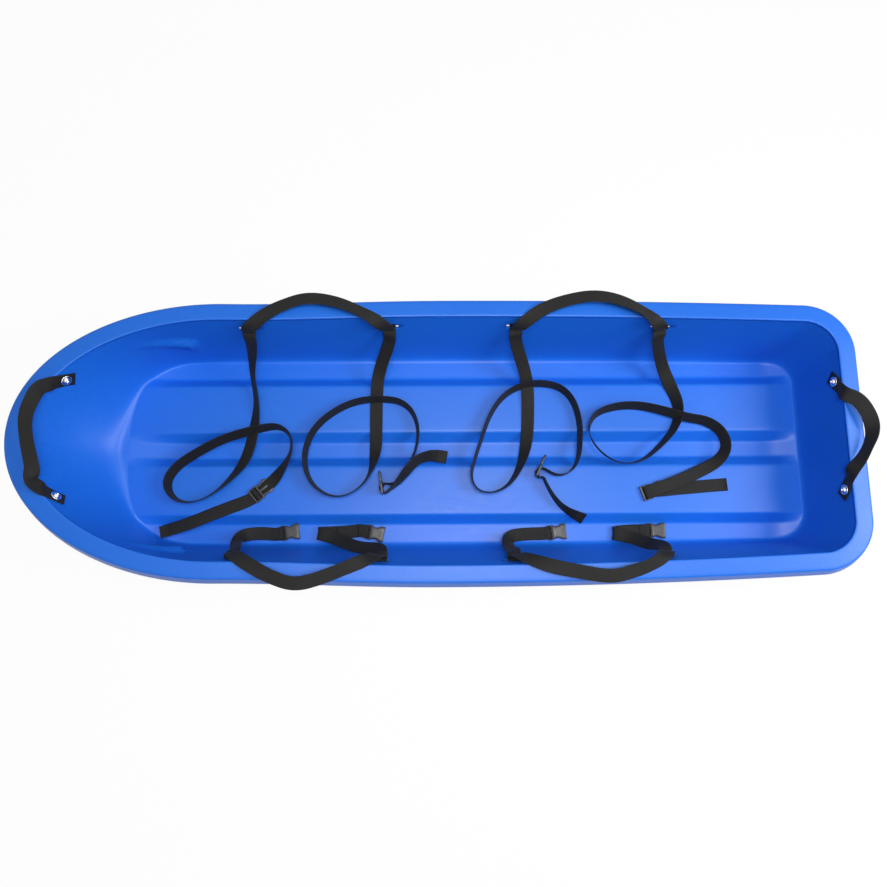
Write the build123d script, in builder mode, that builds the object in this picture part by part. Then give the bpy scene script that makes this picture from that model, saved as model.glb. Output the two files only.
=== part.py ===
"""Pulk sled: a moulded hull with three runners, two webbing handles and four tie-down straps.

Lengths are in mm.  X points to the bow, Y to port and Z up.  Zero is the middle of the
flat bottom of the centre runner, where the sled stands on the snow.
"""

import math
import os

from build123d import *

os.makedirs("parts", exist_ok=True)

# Hull shell
wall = 4
ridge_half = 229.7
ridge_bow = 727
ridge_stern = -733
bow_start = 395
bow_narrowing = 8.3
stern_narrowing = 22
stern_corner = 60
rim_height = 151
bow_rise = 36
stern_rise = 20
flange_width = 30
bow_flange_extra = 6
lip_out = 8
lip_drop = 22

# Floor pan, with a channel in the middle and one along each wall
foot_half = 182.4
foot_bow_start = 470
floor_bow = 612
floor_stern = -712
floor_corner = 50
panel_height = 23.4
channel_half = 16
channel_top_half = 33.7
panel_foot_half = 146.5
panel_top_half = 129.9
bow_ramp_start = 480
stern_ramp_start = -650

# Webbing and its hardware
web_width = 25
web_thick = 1.6
slot_length = 36
slot_height = 9
slot_below_rim = 33
slot_lead = 6
slot_places = {"front_fore": 363, "front_aft": 97, "rear_fore": -145, "rear_aft": -418}
pin_radius = 1.7
pin_length = 44
pin_gap = 0.3
turn_gap = 0.1
station_step = 13

# Handle bolts, which go through the wall just under its ridge
bow_bolt_half = 112
stern_bolt_half = 99.5
bolt_radius = 3
washer_radius = 9.5
washer_thick = 1.5


def save(piece, name):
    piece.label = name
    export_step(piece, "parts/" + name + ".step")


def ridge_half_at(x):
    if x > 0:
        return ridge_half - bow_narrowing * (1 - math.cos(math.pi * min(1, x / bow_start))) / 2
    return ridge_half - stern_narrowing * (x / ridge_stern) ** 2


def rim_at(x):
    if x > 0:
        return rim_height + bow_rise * (x / ridge_bow) ** 2
    return rim_height + stern_rise * (x / ridge_stern) ** 2


def floor_at(x):
    """Height of the channel bottoms, which ramp up to the panels at both ends."""
    fore = (x - bow_ramp_start) / (floor_bow - bow_ramp_start)
    aft = (stern_ramp_start - x) / (stern_ramp_start - floor_stern)
    share = min(1, max(0, fore, aft))
    return wall + (panel_height - wall) * share * share * (1.6 - 0.6 * share)


def inside_foot(x, y):
    """Whether a point in plan lies on the floor pan, inside the foot of the walls."""
    if x > foot_bow_start:
        along = (x - foot_bow_start) / (floor_bow - foot_bow_start)
        return along ** 2.6 + (abs(y) / foot_half) ** 2.6 < 1
    side = foot_half if x > 0 else foot_half - 5 * (x / 620) ** 2
    past_x = max(0, floor_stern + floor_corner - x)
    past_y = max(0, abs(y) - (side - floor_corner))
    return math.hypot(past_x, past_y) < floor_corner


def foot_run(point, normal):
    """Distance in plan from a point on the ridge to the foot of the wall."""
    near = 0.0
    far = 200.0
    for step in range(40):
        middle = (near + far) / 2
        if inside_foot(point[0] - normal[0] * middle, point[1] - normal[1] * middle):
            far = middle
        else:
            near = middle
    return far


def bow_station(degrees):
    turn = math.radians(degrees)
    reach = ridge_bow - bow_start
    half = ridge_half_at(bow_start)
    lean = (math.cos(turn) / reach, math.sin(turn) / half)
    size = math.hypot(lean[0], lean[1])
    point = (bow_start + reach * math.cos(turn), half * math.sin(turn))
    return point, (lean[0] / size, lean[1] / size)


def bow_angle_over(foot_x):
    """Angle of the bow station whose foot lies at a given place along the hull."""
    near = 60.0
    far = 90.0
    for step in range(40):
        middle = (near + far) / 2
        point, normal = bow_station(middle)
        if point[0] - normal[0] * foot_run(point, normal) > foot_x:
            near = middle
        else:
            far = middle
    return far


def side_station(x):
    return (x, ridge_half_at(x)), (0.0, 1.0)


def corner_station(degrees):
    turn = math.radians(degrees)
    centre_x = ridge_stern + stern_corner
    centre_y = ridge_half_at(centre_x) - stern_corner
    point = (centre_x + stern_corner * math.cos(turn), centre_y + stern_corner * math.sin(turn))
    return point, (math.cos(turn), math.sin(turn))


# How a wall rises from its foot: share of the way out, and share of the height there
share_out = (0.0, 0.12, 0.25, 0.5, 0.75, 1.0)
side_up = (0.0, 0.02, 0.10, 0.39, 0.70, 1.0)
bow_up = (0.0, 0.03, 0.09, 0.27, 0.56, 1.0)
stern_up = (0.0, 0.02, 0.08, 0.33, 0.66, 1.0)


def wall_curve(point, normal):
    """Inner face of the wall in its own upright plane: (distance out from the foot, height)."""
    run = foot_run(point, normal)
    low = floor_at(point[0] - normal[0] * run)
    high = rim_at(point[0])
    bow_part = max(0, normal[0]) ** 1.2
    stern_part = max(0, -normal[0]) ** 1.2
    spots = []
    for out, side, bow, stern in zip(share_out, side_up, bow_up, stern_up):
        up = (1 - bow_part - stern_part) * side + bow_part * bow + stern_part * stern
        spots.append((run * out, low + (high - low) * up))
    return spots


def outer_curve(spots):
    """The same curve on the outer face, one wall thickness out."""
    moved = [(0, spots[0][1] - wall)]
    for index in range(1, len(spots)):
        before = spots[index - 1]
        after = spots[min(len(spots) - 1, index + 1)]
        across = after[0] - before[0]
        up = after[1] - before[1]
        size = math.hypot(across, up)
        moved.append((spots[index][0] + up / size * wall, spots[index][1] - across / size * wall))
    return moved


def out_at(spots, height):
    """Distance out from the foot at which the wall's inner face reaches a height."""
    for low, high in zip(spots, spots[1:]):
        if low[1] <= height <= high[1]:
            return low[0] + (high[0] - low[0]) * (height - low[1]) / (high[1] - low[1])
    return spots[-1][0]


def heading(start, end):
    size = math.hypot(end[0] - start[0], end[1] - start[1])
    return ((end[0] - start[0]) / size, (end[1] - start[1]) / size)


def section_plane(point, normal, spots):
    foot = (point[0] - normal[0] * spots[-1][0], point[1] - normal[1] * spots[-1][0], 0)
    return Plane(origin=foot, x_dir=(normal[0], normal[1], 0), z_dir=(normal[1], -normal[0], 0))


# Walls, flange and lip of the port half, lofted in stretches round the rim
ramp_angle = bow_angle_over(bow_ramp_start)
bow_stations = [bow_station(degrees) for degrees in (0, 14, 27.5, 39.5, 50.5, 62, ramp_angle)]
shoulder_stations = [bow_station(degrees) for degrees in (ramp_angle, ramp_angle / 2 + 45, 90)]
side_stations = [side_station(x) for x in (bow_start, 240, 80, -80, -240, -400, -560)]
corner_stations = [corner_station(degrees) for degrees in (90, 112.5, 135, 157.5, 180)]
quarter_stations = [side_station(x) for x in (-560, -600, -637)] + corner_stations[:1]
stern_stations = [corner_stations[-1]]
stern_stations += [((ridge_stern, y), (-1.0, 0.0)) for y in (100, 50, 0)]
lap = 6

with BuildPart() as half_wall:
    for stretch in (bow_stations, shoulder_stations, side_stations, quarter_stations, corner_stations,
                    stern_stations):
        for point, normal in stretch:
            spots = wall_curve(point, normal)
            outer = outer_curve(spots)
            low = spots[0][1]
            high = spots[-1][1]
            foot_x = point[0] - normal[0] * (spots[-1][0] + lap)
            lap_low = floor_at(foot_x)
            edge = spots[-1][0] + flange_width + bow_flange_extra * max(0, normal[0]) ** 2
            under = (outer[-1][0], high - wall)
            with BuildSketch(section_plane(point, normal, spots)):
                with BuildLine():
                    Line((-lap, lap_low), spots[0])
                    Spline(*spots)
                    Line(spots[-1], (edge - 3, high - 1))
                    ThreePointArc((edge - 3, high - 1), (edge + 0.2, high - 2.4), (edge + 1.6, high - 5))
                    Line((edge + 1.6, high - 5), (edge + lip_out, high - lip_drop))
                    Line((edge + lip_out, high - lip_drop), (edge + lip_out - 3.7, high - lip_drop - 1))
                    Line((edge + lip_out - 3.7, high - lip_drop - 1), (edge - 2.6, high - 5.4))
                    Line((edge - 2.6, high - 5.4), under)
                    Spline(under, *reversed(outer[1:-1]), outer[0],
                           tangents=(heading(outer[-1], outer[-2]), heading(outer[0], (-lap, lap_low - wall))))
                    Line(outer[0], (-lap, lap_low - wall))
                    Line((-lap, lap_low - wall), (-lap, lap_low))
                make_face()
        loft(ruled=stretch is quarter_stations)

# Floor of the channels, ramping up at both ends
floor_edge = []
all_stations = (bow_stations + shoulder_stations[1:] + side_stations[1:] + quarter_stations[1:]
                + corner_stations[1:] + stern_stations[1:])
for point, normal in all_stations:
    reach = foot_run(point, normal) + 2
    floor_edge.append((point[0] - normal[0] * reach, point[1] - normal[1] * reach))
ramp_steps = 6
ramp_inset = 0.3
ramp_tops = []
ramp_bottoms = []
for step in range(ramp_steps + 1):
    fore_x = floor_bow + (bow_ramp_start - floor_bow) * step / ramp_steps
    ramp_tops.append((fore_x, floor_at(fore_x) - ramp_inset))
    ramp_bottoms.append((fore_x, floor_at(fore_x) - wall + ramp_inset))
for step in range(ramp_steps + 1):
    aft_x = stern_ramp_start + (floor_stern - stern_ramp_start) * step / ramp_steps
    if step == 0:
        ramp_tops.append((bow_ramp_start, wall))
        ramp_bottoms.append((bow_ramp_start, 0))
    ramp_tops.append((aft_x, floor_at(aft_x)))
    ramp_bottoms.append((aft_x, floor_at(aft_x) - wall))

with BuildPart() as channel_floor:
    with BuildSketch(Plane.XZ):
        with BuildLine():
            Polyline(*ramp_tops, *reversed(ramp_bottoms), close=True)
        make_face()
    extrude(amount=250, both=True)
    with BuildSketch(Plane.XY):
        with BuildLine():
            Polyline(*floor_edge, *[(x, -y) for x, y in reversed(floor_edge[1:-1])], close=True)
        make_face()
    extrude(amount=60, both=True, mode=Mode.INTERSECT)


def panel_block(top, bottom, inset):
    """Raised floor panel, or the hollow under it where inset is a wall thickness."""
    slope_in = (channel_top_half - channel_half) / (panel_height - wall)
    slope_out = (panel_foot_half - panel_top_half) / (panel_height - wall)
    shift_in = inset * math.hypot(1, slope_in)
    shift_out = inset * math.hypot(1, slope_out)
    with BuildPart() as block:
        for height in (bottom, top):
            near = channel_half + slope_in * (height - wall) + shift_in
            far = panel_foot_half - slope_out * (height - wall) - shift_out
            with BuildSketch(Plane.XY.offset(height)):
                with BuildLine():
                    Polyline((floor_stern + inset * 0.8, near), (floor_bow + 1 - inset, near),
                             (floor_bow - 18 - inset * 0.8, far), (floor_stern + inset * 0.8, far), close=True)
                make_face()
        loft(ruled=True)
    return block.part


def wedge_sketch(degrees, low, middle, high, depth):
    """Cut through the moulded wedge on the bow wall, in the wall's own plane."""
    point, normal = bow_station(degrees)
    spots = wall_curve(point, normal)
    with BuildSketch(section_plane(point, normal, spots)) as cut:
        with BuildLine():
            Polyline((out_at(spots, low) + 2, low), (out_at(spots, middle) - depth, middle),
                     (out_at(spots, high) + 2, high), close=True)
        make_face()
    return cut.sketch


with BuildPart() as wedge:
    add(wedge_sketch(75, 52, 88, 100, 13))
    add(wedge_sketch(65, 82, 106, 116, 6))
    add(wedge_sketch(56, 118, 128, 133, 0.5))
    loft(ruled=True)


def wall_spot(x, height):
    """Half-width in plan of the inner face of a side wall."""
    point, normal = side_station(x)
    spots = wall_curve(point, normal)
    return point[1] - spots[-1][0] + out_at(spots, height)


class Slot:
    """One strap slot in a side wall, with the pin that lies outside it."""

    def __init__(self, side, place):
        self.side = 1 if side == "port" else -1
        self.x = slot_places[place] + slot_lead * self.side
        self.z = rim_at(self.x) - slot_below_rim
        self.face = wall_spot(self.x, self.z)
        self.pin_y = self.side * (self.face + wall + pin_radius + 1.3)
        self.leg_z = self.z - pin_radius - pin_gap - web_thick / 2
        self.loop_z = self.z + pin_radius + pin_gap + web_thick / 2


slots = {}
for side in ("starboard", "port"):
    for place in slot_places:
        slots[side + "_" + place] = Slot(side, place)


def bolt_place(x_guess, half, drop):
    """Spot and outward normal on the inner face of the end wall, at a drop below its ridge."""
    if x_guess > 0:
        low = 0.0
        high = 90.0
        for step in range(40):
            middle = (low + high) / 2
            if bow_station(middle)[0][1] < half:
                low = middle
            else:
                high = middle
        point, normal = bow_station(low)
    else:
        point, normal = (ridge_stern, half), (-1.0, 0.0)
    spots = wall_curve(point, normal)
    height = rim_at(point[0]) - drop
    out = out_at(spots, height)
    a = spots[-2]
    b = spots[-1]
    slope = math.hypot(b[0] - a[0], b[1] - a[1])
    tilt = ((b[1] - a[1]) / slope, -(b[0] - a[0]) / slope)
    foot = (point[0] - normal[0] * spots[-1][0], point[1] - normal[1] * spots[-1][0])
    spot = Vector(foot[0] + normal[0] * out, foot[1] + normal[1] * out, height)
    facing = Vector(normal[0] * tilt[0], normal[1] * tilt[0], tilt[1])
    return spot, facing


bow_bolt, bow_facing = bolt_place(1, bow_bolt_half, 20)
stern_bolt, stern_facing = bolt_place(-1, stern_bolt_half, 20)


def mirror_y(vector):
    return Vector(vector.X, -vector.Y, vector.Z)


bolts = [(bow_bolt, bow_facing), (mirror_y(bow_bolt), mirror_y(bow_facing)),
         (stern_bolt, stern_facing), (mirror_y(stern_bolt), mirror_y(stern_facing))]
print("bow bolt", bow_bolt, bow_facing, "stern bolt", stern_bolt, stern_facing)

# The hull: walls and flange, channel floor, two hollow floor panels and the bow wedges
hollow = panel_block(panel_height - wall, -1, wall)
with BuildPart() as panel:
    add(panel_block(panel_height, 0, 0))
    add(hollow, mode=Mode.SUBTRACT)
    with BuildSketch(Plane.XZ):
        with BuildLine():
            Polyline(*ramp_bottoms, (floor_stern, -9), (floor_bow, -9), close=True)
        make_face()
    extrude(amount=250, both=True, mode=Mode.SUBTRACT)

with BuildPart() as hull:
    add(half_wall.part)
    mirror(about=Plane.XZ)
    add(channel_floor.part)
    add(hollow, mode=Mode.SUBTRACT)
    add(hollow.mirror(Plane.XZ), mode=Mode.SUBTRACT)
    add(panel.part)
    add(panel.part.mirror(Plane.XZ))
    add(wedge.part)
    add(wedge.part.mirror(Plane.XZ))
    for slot in slots.values():
        with Locations(Plane((slot.x, slot.side * slot.face, slot.z), x_dir=(1, 0, 0), z_dir=(0, 1, 0))):
            Box(slot_length, slot_height, 30, mode=Mode.SUBTRACT)
    for spot, facing in bolts:
        with Locations(Plane(origin=spot, z_dir=facing)):
            Cylinder(bolt_radius + 0.3, 40, mode=Mode.SUBTRACT)
    with Locations((0, 0, -10)):
        Box(1600, 600, 20, mode=Mode.SUBTRACT)
print("hull", hull.part.is_valid, len(hull.part.solids()), round(hull.part.volume / 1000), hull.part.bounding_box())
save(hull.part, "hull")


def unit(vector):
    return vector.normalized()


def strap_corners(points):
    """Largest even bend radius at each corner of a route."""
    radii = []
    for before, here, after in zip(points, points[1:], points[2:]):
        run_in = Vector(*here) - Vector(*before)
        run_out = Vector(*after) - Vector(*here)
        turn = math.radians(run_in.get_angle(run_out))
        radii.append(0.45 * min(run_in.length, run_out.length) / math.tan(turn / 2))
    return radii


def width_way(tangent, way):
    """Direction of the webbing's width: a lean in degrees from flat, or a given direction."""
    if isinstance(way, (int, float)):
        flat = unit(Vector(-tangent.Y, tangent.X, 0))
        return flat * math.cos(math.radians(way)) + tangent.cross(flat) * math.sin(math.radians(way))
    along = Vector(*way)
    return unit(along - tangent * along.dot(tangent))


web_corners = [(web_width / 2, web_thick / 2), (-web_width / 2, web_thick / 2),
               (-web_width / 2, -web_thick / 2), (web_width / 2, -web_thick / 2)]
skew_room = 15.5


def strap(name, route, cuts=None):
    """Webbing along a route of (x, y, z, way), as one closed solid, its ends on the planes of cuts if given."""
    points = [stop[:3] for stop in route]
    radii = strap_corners(points)
    with BuildLine() as line:
        FilletPolyline(*points, radius=radii)
    path = line.wire()
    spans = [0.0]
    for before, here in zip(points, points[1:]):
        spans.append(spans[-1] + (Vector(*here) - Vector(*before)).length)
    marks = [span / spans[-1] for span in spans]
    ends = [(Vector(*points[1]) - Vector(*points[0])), (Vector(*points[-1]) - Vector(*points[-2]))]
    ways = []
    for index, stop in enumerate(route):
        if index == 0:
            tangent = unit(ends[0])
        elif index == len(route) - 1:
            tangent = unit(ends[1])
        else:
            tangent = unit(Vector(*points[index + 1]) - Vector(*points[index - 1]))
        ways.append(width_way(tangent, stop[3]))
    count = max(3, math.ceil(path.length / min(station_step, 1.2 * min(radii))))
    with BuildPart() as webbing:
        for step in range(count + 1):
            share = step / count
            if cuts and 0 < min(share, 1 - share) * path.length < skew_room:
                continue
            index = max(i for i in range(len(marks) - 1) if marks[i] <= share or i == 0)
            local = min(1, (share - marks[index]) / (marks[index + 1] - marks[index]))
            way = ways[index] * (1 - local) + ways[index + 1] * local
            tangent = path.tangent_at(share)
            across = unit(way - tangent * way.dot(tangent))
            section = Plane(origin=path.position_at(share), x_dir=across, z_dir=tangent)
            corners = [section.from_local_coords(Vector(x, y, 0)) for x, y in web_corners]
            if cuts and step in (0, count):
                section = cuts[0] if step == 0 else cuts[1]
                reach = [(section.origin - corner).dot(section.z_dir) / tangent.dot(section.z_dir) for corner in corners]
                corners = [corner + tangent * run for corner, run in zip(corners, reach)]
            flat = [section.to_local_coords(corner) for corner in corners]
            with BuildSketch(section):
                with BuildLine():
                    Polyline(*[(corner.X, corner.Y) for corner in flat], close=True)
                make_face()
        loft(ruled=True)
    print(name, "length", round(path.length), "tightest bend", round(min(radii)),
          "valid", webbing.part.is_valid)
    return webbing.part


sideways = (0, 1, 0)
fold_way = (0.26, 0.96, 0)

# Inside legs of the straps, from the slot to the buckle, after their first stretch down the wall
leg_routes = {
    "starboard_front_fore": [
        (368, -176, 52, 20), (368, -143, 40, 75), (359, -92, 28, 10), (364, -38, 25.5, 0), (376, 18, 27, 10),
        (400, 55, 35, 55), (438, 91, 36.5, 80), (479, 108, 37, 90), (515, 99, 37, 90), (531, 67, 36, 70),
        (512, 34, 32, 35), (470, 6, 28, 10), (428, -17, 29, 0), (388, -30, 31, 0), (349, -40, 31, 10),
        (313, -46, 33.5, 45), (288, -26, 36.5, 80), (287, 8, 37, 90), (303, 38, 34.7, 55), (322, 62, 25, 0),
        (351.7, 87.3, 24.9, 0)],
    "starboard_front_aft": [
        (119, -150, 36, 0), (122, -98, 26, 0), (122, -40, 25.5, 0), (122, 6, 29, 20), (130, 48, 36, 70),
        (152, 80, 37, 90), (188, 98, 37, 90), (225, 89, 37, 90), (254, 60, 36.5, 80), (264, 10, 34, 50),
        (243, -44, 28, 15), (193, -82, 28, 0), (147, -97, 31, 0), (104, -98, 31, 0), (74, -94, 32, 35),
        (50, -75, 35.5, 60), (38, -42, 35.5, 60), (40, -4, 33, 40), (52, 26, 33, 40), (70, 54, 36, 80),
        (86, 73, 39, 90), (106.5, 76, 39, 90)],
    "starboard_rear_fore": [
        (-181, -138, 32, 0), (-181, -75, 26, 0), (-177, -14, 26, 5), (-165, 32, 34, 50), (-142, 73, 37, 85),
        (-109, 91, 37, 90), (-78, 85, 37, 90), (-64, 58, 37, 85), (-74, 20, 35, 45), (-88, -22, 27, 10),
        (-104, -66, 27, 0), (-130, -104, 31, 0), (-168, -125, 36, 0), (-208, -129, 35, 0), (-246, -121, 30, 10),
        (-270, -95, 34, 50), (-281, -55, 36, 65), (-281, -12, 36, 65), (-275, 28, 36.5, 75), (-258, 52, 38, 88),
        (-232, 58, 39, 90), (-200.3, 45.3, 39, 90)],
    "starboard_rear_aft": [
        (-449, -158, 42, 0), (-467, -122, 29, 0), (-481, -84, 27, 5), (-474, -44, 31, 30), (-441, -4, 35.5, 60),
        (-397, 32, 37, 88), (-352, 33, 37, 90), (-315, 7, 37, 90), (-296, -30, 37, 80), (-309, -66, 34.5, 45),
        (-351, -82, 28, 12), (-397, -84, 30, 0), (-444, -72, 36, 0), (-491, -57, 37, 0), (-533, -52, 31, 10),
        (-562, -30, 33.5, 45), (-570, 2, 35, 55), (-553, 28, 31, 30), (-519, 46, 31, 5), (-478, 65, 35, 0),
        (-440, 79, 36.5, 0), (-418, 86.2, 35.5, 0), (-405.4, 90.4, 31.3, 0)],
    "port_front_fore": [
        (384, 183, 50, 10), (379, 169.5, 25, 15), (362, 165, 11, 8), (338, 164.6, 9.6, 0), (308.7, 164.5, 9.8, 0)],
    "port_front_aft": [
        (150, 195, 60, 25), (184, 182, 32, 15), (208, 172.5, 20, 5), (222, 168.5, 18.5, fold_way),
        (230, 166.3, 17, fold_way), (234.5, 165.3, 14.5, fold_way), (234.5, 164.9, 10.6, sideways),
        (230, 164.5, 8.2, sideways), (221, 164.2, 7.2, sideways), (204, 163.7, 6.8, sideways),
        (176, 162.6, 8, sideways), (142, 161.7, 8.9, sideways)],
    "port_rear_fore": [
        (-136, 198, 56, 10), (-134, 180, 26, 15), (-146, 171, 11, 8), (-172, 168, 8.9, 0), (-214.8, 166.5, 8.9, 0)],
    "port_rear_aft": [
        (-402, 190.5, 56, 10), (-384, 180.5, 34, 10), (-366, 174.5, 21.5, 5), (-355, 171, 18.5, fold_way),
        (-348, 169, 17, fold_way), (-343.5, 167.8, 14.4, fold_way), (-343.5, 166.8, 10.4, sideways),
        (-348, 165.8, 8, sideways), (-356, 164.7, 7, sideways), (-372, 163.3, 6.8, sideways),
        (-388, 162.8, 8, sideways), (-409.2, 162.6, 8.9, sideways)],
}

# Tails past the male buckles, from the ladder to the cut end
tail_routes = {
    "front_fore": [(358.2, 92.9, 24.9, 0), (376, 104, 25.4, 0), (403, 114, 26, 0), (440, 128, 26, 0), (488, 148, 26.5, 8),
                   (540, 163, 24, 12)],
    "front_aft": [(105.2, 85, 39, 90), (92, 82.5, 39.4, 85), (76, 69, 47, 60), (61, 50, 53.5, 20), (45, 30, 50, 5),
                  (24, 17, 38.5, 0), (4, 14, 27, 0), (-18, 18, 25, 0)],
    "rear_fore": [(-196.6, 53.8, 39, 90), (-206, 59, 39, 90), (-211, 72, 38, 88), (-219, 88, 38, 85),
                  (-229, 104, 38, 75), (-242, 118, 36, 50), (-260, 130, 30, 15), (-283, 141, 26.5, 0)],
    "rear_aft": [(-412.5, 87.9, 31.2, 0), (-440, 85, 31.6, 0), (-466, 82, 28, 0), (-492, 80, 25.2, 0),
                 (-525, 77, 25.2, 0), (-568, 74, 25.2, 0)],
}

# Buckles: middle, heading of the prongs or the open end, and which way the buckle's own Z faces
male_places = {
    "front_fore": ((345.5, 82, 28), (-0.76, -0.65, 0), (0, 0, 1)),
    "front_aft": ((110, 69, 39), (0.14, -0.99, 0), (0.99, 0.14, 0)),
    "rear_fore": ((-201, 37.5, 39), (-0.405, -0.914, 0), (0.914, -0.405, 0)),
    "rear_aft": ((-420, 86, 28.2), (-0.95, -0.31, 0), (0, 0, -1)),
}
female_places = {
    "front_fore": ((290, 162.8, 9.8), (-0.991, -0.131, 0), (0, 0, 1)),
    "front_aft": ((123.5, 165.2, 8.9), (-0.982, 0.19, 0), (0, 0, 1)),
    "rear_fore": ((-233.5, 164.6, 8.9), (-0.995, -0.1, 0), (0, 0, 1)),
    "rear_aft": ((-428, 162.6, 8.9), (-1, 0, 0), (0, 0, 1)),
}


def slot_leg(slot):
    """First stretch of a leg: in through the slot, under its pin, and down inside the wall."""
    inner = slot.side * slot.face
    rows = [(slot.x, slot.pin_y - slot.side * turn_gap, slot.leg_z, 0), (slot.x, inner - slot.side * 12, slot.leg_z - 1, 0),
            (slot.x, inner - slot.side * 21, slot.leg_z - 22, 0)]
    return rows


def slot_loop(slot, aft):
    """Stretch of a carrying loop between its slot and the ridge above it."""
    inner = slot.side * slot.face
    shift = -1 if aft else 1
    way = (shift, 0, 0)
    rows = [(slot.x, slot.pin_y - slot.side * turn_gap, slot.loop_z, way), (slot.x, inner - slot.side * 9, slot.loop_z + 0.5, way),
            (slot.x - shift * 3, inner - slot.side * 10, slot.loop_z + 20, way)]
    return rows


# Carrying loops over the flange: places along the rim and how far out and up from its ridge
loop_shapes = {
    "starboard_front": [(-38, 6, 8, 0.35), (-72, 22, 14, 0.8), (-118, 36, 17, 1.2), (-172, 27, 15, 1.3),
                        (-222, 6, 9, 1.0)],
    "starboard_rear": [(-40, 8, 8, 0.4), (-84, 25, 14, 0.9), (-140, 36, 17, 1.2), (-190, 28, 15, 1.3),
                       (-238, 6, 10, 1.0)],
    "port_front": [(-44, 7, 8, 0.4), (-82, 26, 14, 0.9), (-122, 38, 16, 1.2), (-165, 26, 14, 1.3),
                   (-212, 5, 8, 1.0)],
    "port_rear": [(-56, 3, 8, 0.5), (-108, 14, 13, 1.0), (-162, 25, 16, 1.2), (-202, 16, 13, 1.3),
                  (-240, 4, 9.5, 1.0)],
}


def loop_route(side, pair):
    fore = slots[side + "_" + pair + "_fore"]
    aft = slots[side + "_" + pair + "_aft"]
    route = slot_loop(fore, False)
    for along, out, up, turn in loop_shapes[side + "_" + pair]:
        x = fore.x + along
        way = (math.cos(turn * 1.2), fore.side * math.sin(turn * 1.2), -0.3 * math.sin(turn))
        route.append((x, fore.side * (ridge_half_at(x) + out), rim_at(x) + up, way))
    route += reversed(slot_loop(aft, True))
    return route


def slot_turn(slot):
    """Half turn of the webbing round the pin outside its slot."""
    inner_radius = pin_radius + pin_gap
    with BuildPart() as turn:
        with BuildSketch(Plane(origin=(slot.x, slot.pin_y, slot.z), x_dir=(0, slot.side, 0), z_dir=(1, 0, 0))):
            Circle(inner_radius + web_thick)
            Circle(inner_radius, mode=Mode.SUBTRACT)
            with Locations((-20, 0)):
                Rectangle(40, 40, mode=Mode.SUBTRACT)
        extrude(amount=web_width / 2, both=True)
    return turn.part


for side in ("starboard", "port"):
    with BuildPart() as pins:
        for name, slot in slots.items():
            if name.startswith(side):
                with Locations(Plane((slot.x, slot.pin_y, slot.z), x_dir=(0, 1, 0), z_dir=(1, 0, 0))):
                    Cylinder(pin_radius, pin_length)
    save(pins.part, side + "_slot_pins")
    turns = [slot_turn(slot) for name, slot in slots.items() if name.startswith(side)]
    save(Compound(children=turns), side + "_slot_turns")
    for pair in ("front", "rear"):
        save(strap(side + "_" + pair + "_loop", loop_route(side, pair)), side + "_" + pair + "_loop")
        for end in ("fore", "aft"):
            key = side + "_" + pair + "_" + end
            route = slot_leg(slots[key]) + leg_routes[key]
            save(strap(key + "_leg", route), key + "_leg")
for key, route in tail_routes.items():
    save(strap("starboard_" + key + "_tail", route), "starboard_" + key + "_tail")


def placed(piece, place):
    middle, heading, facing = place
    return piece.moved(Plane(origin=middle, x_dir=heading, z_dir=facing).location)


# Side-release buckles: the male half has a ladder for the strap, the female half a plain bar
ladder_half = 14.8
slot_half = 12.8
male_thick = 4.4
wrap_rise = 4.2

with BuildPart() as male_shape:
    with BuildSketch():
        with Locations((-12, 0)):
            RectangleRounded(20, 2 * ladder_half, 2.5)
        with Locations((-16.35, 0), (-7.4, 0)):
            Rectangle(4.3, 2 * slot_half, mode=Mode.SUBTRACT)
    extrude(amount=male_thick / 2, both=True)
    with BuildSketch():
        for flip in (1, -1):
            with BuildLine():
                Polyline((-3, 12.6 * flip), (9, 13.2 * flip), (13, 15.4 * flip), (17, 15 * flip), (22, 12.2 * flip),
                         (22, 10.4 * flip), (13, 10 * flip), (-3, 8.6 * flip), close=True)
            make_face()
        with Locations((6.5, 0)):
            Rectangle(19, 5)
    extrude(amount=male_thick / 2 - 0.4, both=True)

with BuildPart() as strap_wrap:
    with BuildSketch(Plane.XZ):
        with BuildLine():
            Polyline((-17.4, -male_thick / 2), (-17.4, wrap_rise), (-6.6, wrap_rise), (-6.6, -male_thick / 2),
                     (-8.2, -male_thick / 2), (-8.2, wrap_rise - web_thick), (-15.8, wrap_rise - web_thick),
                     (-15.8, -male_thick / 2), close=True)
        make_face()
    extrude(amount=web_width / 2, both=True)

with BuildPart() as female_shape:
    with BuildSketch():
        with BuildLine():
            outline = [(-18, 12.6), (-16, 14.6), (-9, 14.4), (-4, 11.6), (4, 11.6), (9, 15), (16, 15.8), (18, 14.2)]
            Polyline(*outline, *[(x, -y) for x, y in reversed(outline)], close=True)
        make_face()
        with Locations((-13, 0)):
            Rectangle(4, 2 * slot_half, mode=Mode.SUBTRACT)
    extrude(amount=4.5, both=True)
    with Locations((5.5, 0, 0)):
        Box(27, 25, 5.4, mode=Mode.SUBTRACT)

for key, place in male_places.items():
    save(placed(male_shape.part, place), "starboard_" + key + "_male_buckle")
    save(placed(strap_wrap.part, place), "starboard_" + key + "_wrap")
for key, place in female_places.items():
    save(placed(female_shape.part, place), "port_" + key + "_female_buckle")


# Webbing handles, each bolted through the wall at both ends and free to fold at a line near the ridge
tab_gap = 1.3
tab_below = 16
tab_turns = {"bow": 44, "stern": 45}
hinge_reach = {"bow": 37, "stern": 30}
hinge_gap = 1.2
tab_lifts = {"bow": 3.4, "stern": 1.8}
wall_at_bolt = {"bow": 5.5, "stern": 4.6}
handle_rows = {
    "bow": [(717, -58, 212, -20), (720, -28, 213, 0), (713, 4, 212, 5), (706, 38, 209, -5), (706, 66, 205, -30)],
    "stern": [(-744, -58, 189, 35), (-760, -42, 191, 15), (-773, -18, 190, 15), (-774, 6, 188, 45),
              (-764, 30, 188, 50), (-748, 52, 188, 45)],
}


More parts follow.
